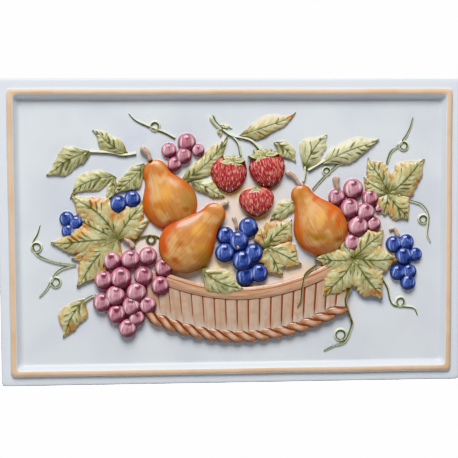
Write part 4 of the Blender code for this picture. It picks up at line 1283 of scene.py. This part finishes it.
def addLeaf(name, ends, size, bend, hook, level, tint, material, belly=leaves["belly"],
            toothDepth=leaves["toothDepth"], baseDraw=0.0):
    # its tone map counts the side veins, from another even number on each, and holds the tint
    length = (Vector(ends[1]) - Vector(ends[0])).length
    first = 2 * (len(forms.objects) % 50)
    veins = max(3, round(length / leaves["sideVeinPitch"]))
    seed = random.random()

    def body(s):
        return math.sin(math.pi * s ** belly)

    def veinPhase(s, t):
        # whole numbers fall on the side veins
        sweep = leaves["sideVeinSweep"] * abs(t) * size / 2 * body(s)
        wander = math.sin(leaves["wanderWaves"] * s + leaves["seedTurn"] * seed
                          + (leaves["wanderShift"] if t > 0 else 0.0))
        wander *= min(1.0, 6 * abs(t))
        return (s * length - sweep) * veins / length + leaves["sideVeinWander"] * wander

    def width(s):
        half = size / 2 * (leaves["stub"] + (1 - leaves["stub"]) * body(s))
        beat = (veinPhase(s, 1.0) + leaves["toothShift"]) % 1.0
        tooth = math.sin(math.pi * beat ** leaves["toothLean"]) - leaves["toothNotch"]
        narrow = 1 - leaves["tipDraw"] * max(0.0, 4 * s - 3) ** leaves["tipPower"]
        narrow -= baseDraw * max(0.0, 1 - 4 * s)
        return half * narrow * (1 + toothDepth * tooth * min(1.0, 5 * s))

    def skew(s):
        return leaves["skew"] * math.sin(leaves["skewWaves"] * s
                                         + leaves["seedTurn"] * seed)

    def height(s, t):
        # the rolled edge fades out at the base, the side veins at the middle and the edge
        offset = abs(t) * width(s)
        rise = leaves["crown"] * size * body(s) * (1 - t * t)
        rise -= leaves["rollOff"] * abs(t) ** leaves["rollPower"] * min(1.0, 3 * s)
        rise -= leaves["veinDepth"] * math.exp(-(offset / leaves["veinWidth"]) ** 2)
        ridge = math.cos(2 * math.pi * veinPhase(s, t))
        rise -= leaves["sideVeinRise"] * ridge * min(1.0, 4 * abs(t) * (1 - abs(t)))
        rise += leaves["buckle"] * body(s) * math.sin(leaves["buckleWaves"] * s
                                                      + leaves["seedTurn"] * seed) * t
        return level + rise

    def tone(s, t):
        return first + veinPhase(s, t), tint

    stations = max(8, int(length / leaves["station"]))
    crosses = 9 if size < leaves["small"] else 15
    return addSpindle(name, ends, width, height, tone, material, stations, crosses, bend,
                      hook, skew, even=True)


def makeLeaves(material):
    for x, y, tipX, tipY, size, bend, hook, level, tint in plainLeaves:
        addLeaf("leaf", ((x, y), (tipX, tipY)), size, bend, hook, level, tint, material,
                baseDraw=leaves["baseDraw"])
    for (x, y, level, tint), lobes in vineLeaves:
        for tipX, tipY, size, bend in lobes:
            under = leaves["lobeDrop"] if bend == 0 else 0.0
            hook = leaves["lobeHook"] * (1 if bend > 0 else -1)
            addLeaf("lobe", ((x, y), (tipX, tipY)), size, bend, hook, level - under, tint,
                    material, leaves["lobeBelly"], leaves["lobeTooth"])


# Pears: a round belly, a hollow shoulder and a narrow round neck

pears = {
    "places": (
        # belly x, y, radius, neck x, y, radius, level, rise
        (-61.5, 29.0, 27.0, -75.0, 58.5, 13.2, 0.5, 13.0),
        (87.5, 3.0, 27.0, 68.5, 36.0, 10.5, 2.0, 15.0),
        (-46.0, -13.0, 27.0, -18.5, 17.5, 11.5, 6.0, 13.1),
    ),
    "shoulder": 0.35,        # where the belly's circle ends, in radii from its middle
    "roundness": 0.6,        # 0.5 is a round section and 1 a flatter one
}


def makePears(material):
    for number, place in enumerate(pears["places"]):
        x, y, belly, neckX, neckY, neck, level, rise = place
        axis = Vector((neckX - x, neckY - y))
        length = axis.length
        whole = belly + length + neck
        shoulder = pears["shoulder"] * belly
        start = math.sqrt(belly ** 2 - shoulder ** 2)
        slope = -shoulder / start * (length - shoulder)
        base = Vector((x, y)) - axis.normalized() * belly
        tip = Vector((neckX, neckY)) + axis.normalized() * neck

        def width(s):
            along = s * whole - belly
            if along > length:
                return math.sqrt(max(neck ** 2 - (along - length) ** 2, 0.0))
            if along < shoulder:
                return math.sqrt(max(belly ** 2 - along ** 2, 0.0))
            # one smooth curve runs from the belly's circle in to the neck's
            share = (along - shoulder) / (length - shoulder)
            return (start * (1 + 2 * share) * (1 - share) ** 2
                    + slope * share * (1 - share) ** 2 + neck * share ** 2 * (3 - 2 * share))

        def height(s, t):
            return level + width(s) * rise / belly * max(1 - t * t, 0.0) ** pears["roundness"]

        addSpindle("pear", (base, tip), width, height, lambda s, t: (number / 10, 0.0),
                   material, stations=46, crosses=33)


# Strawberries: full shoulders, a blunt tip, seeds in rows and a cap of small leaves

strawberries = {
    "places": (
        # crown x, y, tip x, y, radius, level, rise, then the cap's reach as a share
        # and its shift in x and y
        (-4.0, 73.5, -2.5, 38.0, 18.0, 2.0, 9.0, 0.95, 5.0, 0.0),
        (31.0, 77.0, 39.0, 43.0, 18.0, 2.5, 9.5, 1.08, 0.0, 2.5),
        (22.5, 43.5, 25.5, 14.5, 17.5, 3.5, 9.0, 0.55, 0.0, 0.0),
    ),
    "full": 0.38,            # the two powers that shape its outline
    "taper": 0.62,
    "seedRows": 6,
    "seedFrom": 0.14,        # share of the length where the rows start
    "seedSpan": 0.80,
    "seedPitch": 5.4,        # across, on the round surface
    "seedStray": 0.2,        # how far a seed strays across, in pitches
    "seedStrayAlong": 0.02,
    "seedEdge": 0.93,        # no seeds further out than this
    "seedEnds": (0.1, 0.95),  # nor past these shares of the length
    "seedLength": 2.2,
    "seedLengths": (0.7, 1.2),
    "seedWidth": 0.46,
    "seedRise": 0.5,
    "seedSink": 0.12,
    "capLeaves": 8,
    "capTurn": 0.25,         # where the first leaf of a cap points, in leaves
    "capReach": 15.0,
    "capHeight": 9.0,
    "capDrop": 4.0,
    "capLeafWidth": 6.4,
    "capLevel": 10.4,
    "capStep": 0.15,         # each leaf of a cap lies this far below the last
    "capHook": -1.4,
    "capUneven": 0.15,       # how unequal the leaves of a cap are
    "capWaves": 5.0,
}


def makeStrawberries(red, green, pale, tree, mould):
    full, taper = strawberries["full"], strawberries["taper"]
    stray, strayAlong = strawberries["seedStray"], strawberries["seedStrayAlong"]
    first, last = strawberries["seedEnds"]
    peak = full ** full * taper ** taper
    seeds = []
    for number, place in enumerate(strawberries["places"]):
        x, y, tipX, tipY, radius, level, rise, cap, capX, capY = place
        crown, tip = Vector((x, y)), Vector((tipX, tipY))
        run = tip - crown
        across = Vector((-run.y, run.x)).normalized()

        def width(s):
            return radius * s ** full * (1 - s) ** taper / peak

        def height(s, t):
            return level + width(s) * rise / radius * math.sqrt(max(1 - t * t, 0.0))

        addSpindle("strawberry", (crown, tip), width, height,
                   lambda s, t: (number / 10, 0.0), red, stations=40, crosses=37)
        # seeds stand in staggered rows, closer together where the skin turns away
        for row in range(1, strawberries["seedRows"] + 1):
            s = (strawberries["seedFrom"]
                 + strawberries["seedSpan"] * row / (strawberries["seedRows"] + 1))
            count = max(2, round(math.pi * width(s) / strawberries["seedPitch"]))
            for seed in range(count):
                turn = seed + 0.5 + 0.5 * (row % 2) + random.uniform(-stray, stray)
                t = math.sin(math.pi * (turn / count - 0.5))
                if abs(t) > strawberries["seedEdge"]:
                    continue
                s = min(last, max(first, s + random.uniform(-strayAlong, strayAlong)))
                spot = crown + run * s + across * (width(s) * t)
                seeds.append((spot.x, spot.y,
                              tile["fieldDepth"] + height(s, t) - strawberries["seedSink"],
                              strawberries["seedLength"]
                              * random.uniform(*strawberries["seedLengths"]),
                              strawberries["seedWidth"] * (0.5 + 0.5 * (1 - t * t)),
                              strawberries["seedRise"], math.atan2(run.y, run.x),
                              random.random(), 0.0))
        for leaf in range(strawberries["capLeaves"]):
            angle = 2 * math.pi * (leaf + strawberries["capTurn"]) / strawberries["capLeaves"]
            beat = math.sin(strawberries["capWaves"] * leaf + number)
            reach = cap * (1 - strawberries["capUneven"] + strawberries["capUneven"] * beat)
            middle = (x + capX, y + capY - strawberries["capDrop"])
            end = (middle[0] + strawberries["capReach"] * reach * math.cos(angle),
                   middle[1] + strawberries["capHeight"] * reach * math.sin(angle))
            addLeaf("sepal", (middle, end), strawberries["capLeafWidth"], 0.0,
                    strawberries["capHook"],
                    strawberries["capLevel"] - strawberries["capStep"] * leaf, 0.0, green)
    setForms("seed", tree, mould, seeds, pale)


# Bunches of round fruit: x, y, radius of each, the low fruit first

bunches = {
    "wide": 1.10,            # hand-rolled fruit is a little taller than wide
    "tall": 1.14,
    "turn": 0.25,            # and each is turned a little, in radians at most
    # fruit, level of the lowest and of the highest, rise as a share of radius
    "grape": (
        (((-44.5, 88.0, 8.3), (-62.0, 80.5, 6.8), (-33.5, 80.5, 5.8),
          (-56.5, 67.0, 6.4), (-47.5, 75.0, 7.2)), 1.0, 3.0, 0.85),
        (((-118.5, -27.0, 8.3), (-100.5, -26.0, 8.6), (-83.5, -23.0, 8.2),
          (-68.0, -34.5, 8.2), (-127.0, -46.0, 8.2), (-128.5, -68.0, 8.4),
          (-104.0, -94.0, 8.2), (-114.5, -79.5, 8.3), (-95.0, -84.0, 7.2),
          (-71.5, -52.0, 8.4), (-84.0, -71.0, 7.8), (-88.0, -42.5, 8.4),
          (-115.5, -61.5, 8.8), (-110.0, -44.0, 9.4), (-100.0, -72.0, 8.4),
          (-95.0, -58.5, 9.0)), 3.5, 6.0, 0.80),
        (((103.5, 33.5, 7.7), (120.0, 41.5, 9.2), (137.0, 32.5, 7.6),
          (145.5, 22.0, 3.5), (118.5, -12.0, 8.0), (140.5, 7.0, 6.5),
          (132.0, 18.5, 8.3), (116.5, 22.5, 8.8), (124.5, 4.5, 9.2)), 1.5, 4.0, 0.80),
    ),
    "berry": (
        (((-162.0, 14.0, 6.8), (-160.8, 2.0, 6.2), (-153.3, 10.5, 6.4)), 1.0, 2.0, 0.85),
        (((-112.0, 28.4, 7.6), (-98.0, 33.0, 7.4)), 2.5, 3.0, 0.85),
        (((15.5, 4.5, 8.7), (-7.0, -3.5, 7.8), (26.0, -41.0, 8.2), (12.5, -44.0, 8.6),
          (20.5, -21.0, 8.5), (-8.0, -20.5, 8.6), (6.0, -9.0, 9.0),
          (9.5, -28.5, 9.3)), 2.0, 5.0, 0.80),
        (((161.0, -13.7, 7.6), (173.5, -11.5, 7.0), (182.5, -24.0, 6.2),
          (171.0, -25.5, 8.0), (176.5, -41.0, 6.8), (164.8, -42.0, 7.0),
          (175.3, -52.0, 7.0)), 1.0, 2.5, 0.85),
    ),
}


def makeBunches(paints, tree, mould):
    for kind in ("grape", "berry"):
        rows = []
        for fruit, low, high, share in bunches[kind]:
            for place, (x, y, radius) in enumerate(fruit):
                level = low + (high - low) * place / (len(fruit) - 1)
                turn = random.uniform(-bunches["turn"], bunches["turn"])
                rows.append((x, y, tile["fieldDepth"] + level, radius * bunches["wide"],
                             radius * bunches["tall"], share * radius, turn,
                             random.random(), random.random()))
        setForms(kind, tree, mould, rows, paints[kind])


# Tendrils and stems: bars along given routes, and a closed curl on most tendrils

tendrils = {
    "radius": 1.35,
    "tail": 0.45,            # thickness of the free end, as a share
    "fullFrom": 2.2,         # the whole length over the length of that taper
    "taperPower": 0.7,
    "level": 0.7,
    "foot": 2.4,             # how far tendrils and stems run down below their level
    "curlRadius": 1.45,
    "curlLevel": 0.55,
    "curlPoints": 24,
    "step": 1.6,
    # route, then the curl's centre x, y and radius, then how dark it is drawn and on
    # which side of its way
    "routes": (
        (((-100.5, 116.5), (-94.0, 110.0), (-78.0, 102.5), (-66.0, 98.0),
          (-56.0, 92.5)), (-75.5, 104.0, 4.2), 0.0, 1),
        (((124.0, 70.5), (110.0, 68.0), (98.5, 60.0), (88.0, 50.0), (80.0, 41.0)),
         (93.5, 59.5, 3.6), 0.0, 1),
        (((180.0, 112.0), (176.0, 99.0), (167.5, 86.0), (158.0, 78.0), (154.0, 67.0)),
         (170.5, 84.0, 4.2), 0.0, 1),
        (((-188.5, 8.5), (-191.0, 0.0), (-196.0, -10.0), (-192.0, -20.5),
          (-177.0, -28.0), (-154.0, -32.0)), (-192.0, -13.5, 4.6), 0.0, -1),
        (((-190.0, -63.0), (-182.5, -55.0), (-177.5, -46.0), (-170.0, -36.5),
          (-156.0, -31.5)), (-174.0, -48.0, 4.7), 0.0, -1),
        (((-60.0, -3.5), (-71.0, -5.5), (-81.0, -3.0), (-92.0, -6.0), (-98.0, -12.0)),
         (-80.3, -7.0, 4.0), 0.5, 1),
        (((198.0, -12.5), (194.5, -4.0), (195.5, 14.0), (189.0, 25.0), (176.0, 30.0)),
         (190.5, 11.0, 4.2), 0.0, 1),
        (((91.0, -120.0), (101.0, -115.0), (112.5, -110.5), (119.5, -94.0),
          (118.5, -88.5)), (107.5, -104.0, 5.4), 0.0, -1),
        (((185.5, -85.0), (182.0, -78.0), (172.0, -76.0), (160.0, -73.0),
          (155.0, -57.0), (149.0, -46.0)), (168.0, -71.5, 4.4), 0.0, -1),
        # the two over the basket have no curl but a level of their own
        (((64.0, -75.0), (67.5, -68.0), (69.0, -55.0), (72.0, -43.0), (84.0, -33.0)),
         7.0, 0.12, -1),
        (((119.4, -91.0), (115.5, -81.0), (112.5, -68.0), (117.5, -57.0)), 5.2, 0.12, -1),
    ),
}
stems = {
    "step": 1.2,
    "thickFrom": 2.0,        # stems of this radius and more grow thicker to their far end
    "growth": 0.5,
    "uneven": 0.12,
    "unevenPerPoint": 0.4,
    "unevenPerStem": 9.1,
    "endFrom": 0.8,          # share of the length where the round end starts
    "endLeast": 0.06,        # square of the thickness at the very end
    "shade": -0.3,           # no dark line on a green stem's top
    # route, radius, level, woody or green
    "routes": (
        (((-80.0, 70.5), (-83.0, 78.0), (-89.5, 83.5)), 2.9, 4.0, True),
        (((-14.0, 22.5), (-9.0, 27.5), (-3.5, 30.0)), 2.2, 5.0, True),
        (((67.0, 45.0), (60.0, 55.0), (52.5, 58.5)), 2.5, 3.0, True),
        (((105.0, 41.0), (103.0, 48.0), (103.0, 54.5)), 3.2, 2.0, True),
        (((-9.0, 100.5), (0.0, 94.5), (18.0, 90.0), (29.0, 79.0)), 1.3, 1.5, False),
        (((0.0, 94.5), (6.0, 87.0), (8.4, 75.5)), 1.2, 1.5, False),
        (((-10.5, 101.0), (-17.5, 108.0), (-20.5, 114.5)), 2.5, 1.0, False),
        (((-139.0, 79.5), (-120.0, 78.5), (-107.0, 76.0), (-94.0, 77.5)), 1.5, 1.3, False),
        (((-133.0, -61.5), (-140.0, -63.0), (-149.0, -69.0)), 1.5, 1.6, False),
        (((157.0, 0.0), (161.0, 2.0), (166.0, -7.0)), 2.2, 1.5, True),
        (((4.0, 3.0), (3.0, 10.0), (0.5, 15.5)), 2.0, 1.2, True),
        (((-107.0, -6.0), (-101.0, -9.0), (-97.0, -15.0)), 2.4, 4.5, True),
        (((70.5, 49.0), (72.0, 56.0), (72.0, 64.0)), 1.3, 1.8, False),
        (((75.0, 60.0), (82.0, 64.0), (92.0, 70.0)), 1.4, 2.4, False),
        (((3.5, -15.0), (5.0, -15.2), (6.5, -15.4)), 2.4, 9.5, True),
    ),
}


def makeTendrils(tree, material):
    routes = []
    for points, curl, dark, side in tendrils["routes"]:
        level = tendrils["level"] if isinstance(curl, tuple) else curl
        path = smoothRoute(points, tendrils["step"])
        grown = [min(1.0, tendrils["fullFrom"] * n / (len(path) - 1))
                 ** tendrils["taperPower"] for n in range(len(path))]
        widths = [tendrils["radius"] * (tendrils["tail"] + (1 - tendrils["tail"]) * share)
                  for share in grown]
        routes.append(([(p.x, p.y, level) for p in path], widths, False, (dark, side)))
        if isinstance(curl, tuple):
            x, y, radius = curl
            count = tendrils["curlPoints"]
            ring = [(x + radius * math.cos(2 * math.pi * n / count),
                     y + radius * math.sin(2 * math.pi * n / count), tendrils["curlLevel"])
                    for n in range(count)]
            routes.append((ring, [tendrils["curlRadius"]] * count, True, (dark, -1)))
    layBars("tendril", tree, barSection("tendrilSection", 7), routes,
            (1.0, 1.0, tendrils["foot"]), material)


def makeStems(tree, wood, green):
    section = barSection("stemSection", 9)
    for material, kind in ((wood, True), (green, False)):
        routes = []
        for number, (points, radius, level, woody) in enumerate(stems["routes"]):
            if woody != kind:
                continue
            path = smoothRoute(points, stems["step"])
            # a thick stem grows thicker still to its far end, and that end is rounded
            grown = stems["growth"] if radius >= stems["thickFrom"] else 0.0
            widths = []
            for n in range(len(path)):
                share = n / (len(path) - 1)
                thick = (1 - grown / 2 + grown * share ** 2 + stems["uneven"]
                         * noise.noise((n * stems["unevenPerPoint"],
                                        number * stems["unevenPerStem"], 0.0)))
                if grown:
                    past = max(0.0, (share - stems["endFrom"]) / (1 - stems["endFrom"]))
                    thick *= math.sqrt(max(stems["endLeast"], 1 - past ** 2))
                widths.append(radius * thick)
            routes.append(([(p.x, p.y, level) for p in path], widths, False,
                           (stems["shade"], 1)))
        layBars("stem", tree, section, routes, (1.0, 1.0, tendrils["foot"]), material)


# Basket: staves between a flat band and a laid rope, on arcs lowest at the middle

basket = {
    "middle": 7.0,           # where the rim and the rope hang lowest
    "left": -86.0,
    "right": 117.5,
    "draft": 5.0,            # how much further in the foot ends at each side
    "level": 3.5,
    "swell": 2.5,            # how much further out the middle stands than the sides
    "rimLeft": -66.0,
    "rimRight": 108.0,
    "rimLow": -60.9,
    "rimCurve": 0.0028,
    "rimWidth": 12.8,
    "rimRise": 2.6,
    "rimStep": 2.2,
    "rimFoot": 7.5,
    "staves": 18,
    "staveCrown": 0.6,
    "staveEnd": -0.5,        # staves end this far above the rope's middle line
    "staveShare": 0.515,     # half width as a share of the pitch: they just overlap
    "ropeLow": -103.2,
    "ropeCurve": 0.0026,
    "ropeLeft": -79.0,
    "ropeRight": 103.0,
    "strands": 15,
    "strandHalfWidth": 4.8,
    "strandHalfLength": 12.5,
    "strandLay": -34.0,      # degrees to the rope's run
    "strandSway": 0.8,       # how far its two ends turn back along the rope
    "strandLevel": 4.0,
    "strandRise": 5.0,
}


def arcHeight(x, low, curve):
    return low + curve * (x - basket["middle"]) ** 2


def basketShare(x):
    # from -1 at its left side to 1 at its right
    half = (basket["right"] - basket["left"]) / 2
    return (x - (basket["right"] + basket["left"]) / 2) / half


def basketLevel(x):
    return basket["level"] + basket["swell"] * (1 - basketShare(x) ** 2)


def makeStaves(tree, mould, material):
    rows = []
    pitch = (basket["right"] - basket["left"]) / basket["staves"]
    for stave in range(basket["staves"]):
        x = basket["left"] + pitch * (stave + 0.5)
        aside = basket["draft"] * basketShare(x)
        top = arcHeight(x, basket["rimLow"], basket["rimCurve"])
        end = arcHeight(x, basket["ropeLow"], basket["ropeCurve"]) + basket["staveEnd"]
        turn = math.atan2(-aside, top - end)
        crown = basketLevel(x) + basket["staveCrown"]
        rows.append((x - aside / 2, (top + end) / 2, tile["fieldDepth"],
                     pitch * basket["staveShare"], (top - end) / 2, crown, turn,
                     random.random(), stave / basket["staves"]))
    setForms("stave", tree, mould, rows, material)


def makeRim(tree, material):
    count = int((basket["rimRight"] - basket["rimLeft"]) / basket["rimStep"])
    span = [basket["rimLeft"] + basket["rimStep"] * n for n in range(count + 1)]
    band = [(x, arcHeight(x, basket["rimLow"], basket["rimCurve"]), basketLevel(x))
            for x in span]
    layBars("rim", tree, barSection("rimSection", 12),
            [(band, [1.0] * len(band), False, (0.0, 0.0))],
            (basket["rimWidth"] / 2, basket["rimRise"], basket["rimFoot"]), material)


def makeRope(tree, mould, material):
    rows = []
    for strand in range(basket["strands"]):
        share = strand / (basket["strands"] - 1)
        x = basket["ropeLeft"] + (basket["ropeRight"] - basket["ropeLeft"]) * share
        run = math.atan(2 * basket["ropeCurve"] * (x - basket["middle"]))
        rows.append((x, arcHeight(x, basket["ropeLow"], basket["ropeCurve"]),
                     tile["fieldDepth"] + basket["strandLevel"],
                     basket["strandHalfLength"], basket["strandHalfWidth"],
                     basket["strandRise"], run + math.radians(basket["strandLay"]),
                     random.random(), share))
    setForms("strand", tree, mould, rows, material)


def makeRelief(paints):
    setTree, barTree = mouldTree(), routeTree()
    # sides and rings of points, then the depth of the foot in radii
    ball = domeMould("ballMould", 26, 8, -1.15)
    seed = domeMould("seedMould", 8, 2, -1.6)
    strand = domeMould("strandMould", 24, 7, -1.1, basket["strandSway"])
    stave = staveMould("staveMould", 8, 10, 0.10, -0.5)
    makeLeaves(paints["leaf"])
    print("leaves are made")
    makePears(paints["pear"])
    makeStrawberries(paints["strawberry"], paints["sepal"], paints["seed"], setTree, seed)
    makeBunches(paints, setTree, ball)
    print("fruit is made")
    makeTendrils(barTree, paints["tendril"])
    makeStems(barTree, paints["stem"], paints["tendril"])
    print("tendrils and stems are made")
    makeStaves(setTree, stave, paints["stave"])
    makeRim(barTree, paints["rim"])
    makeRope(setTree, strand, paints["rope"])
    print("basket is made")
    # all of it is lowered towards the field it stands on
    lowered = (Matrix.Translation((0, 0, tile["fieldDepth"]))
               @ Matrix.Diagonal((1, 1, tile["reliefHeight"], 1))
               @ Matrix.Translation((0, 0, -tile["fieldDepth"])))
    for form in forms.objects:
        form.data.transform(lowered)


slab = makeSlab(paints)
print("slab is made")
makeRelief(paints)
joinSolids(slab, makeGrooves(paints["bisque"]), "DIFFERENCE")
joinSolids(slab, forms, "UNION")
slab.data.transform(benchToFrame)
slab.data.shade_smooth()
slab.data.set_sharp_from_angle(angle=math.radians(tile["sharpFrom"]))
print("tile is united:", len(slab.data.polygons), "faces")

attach(slab, "root")
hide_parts("relief_tile")
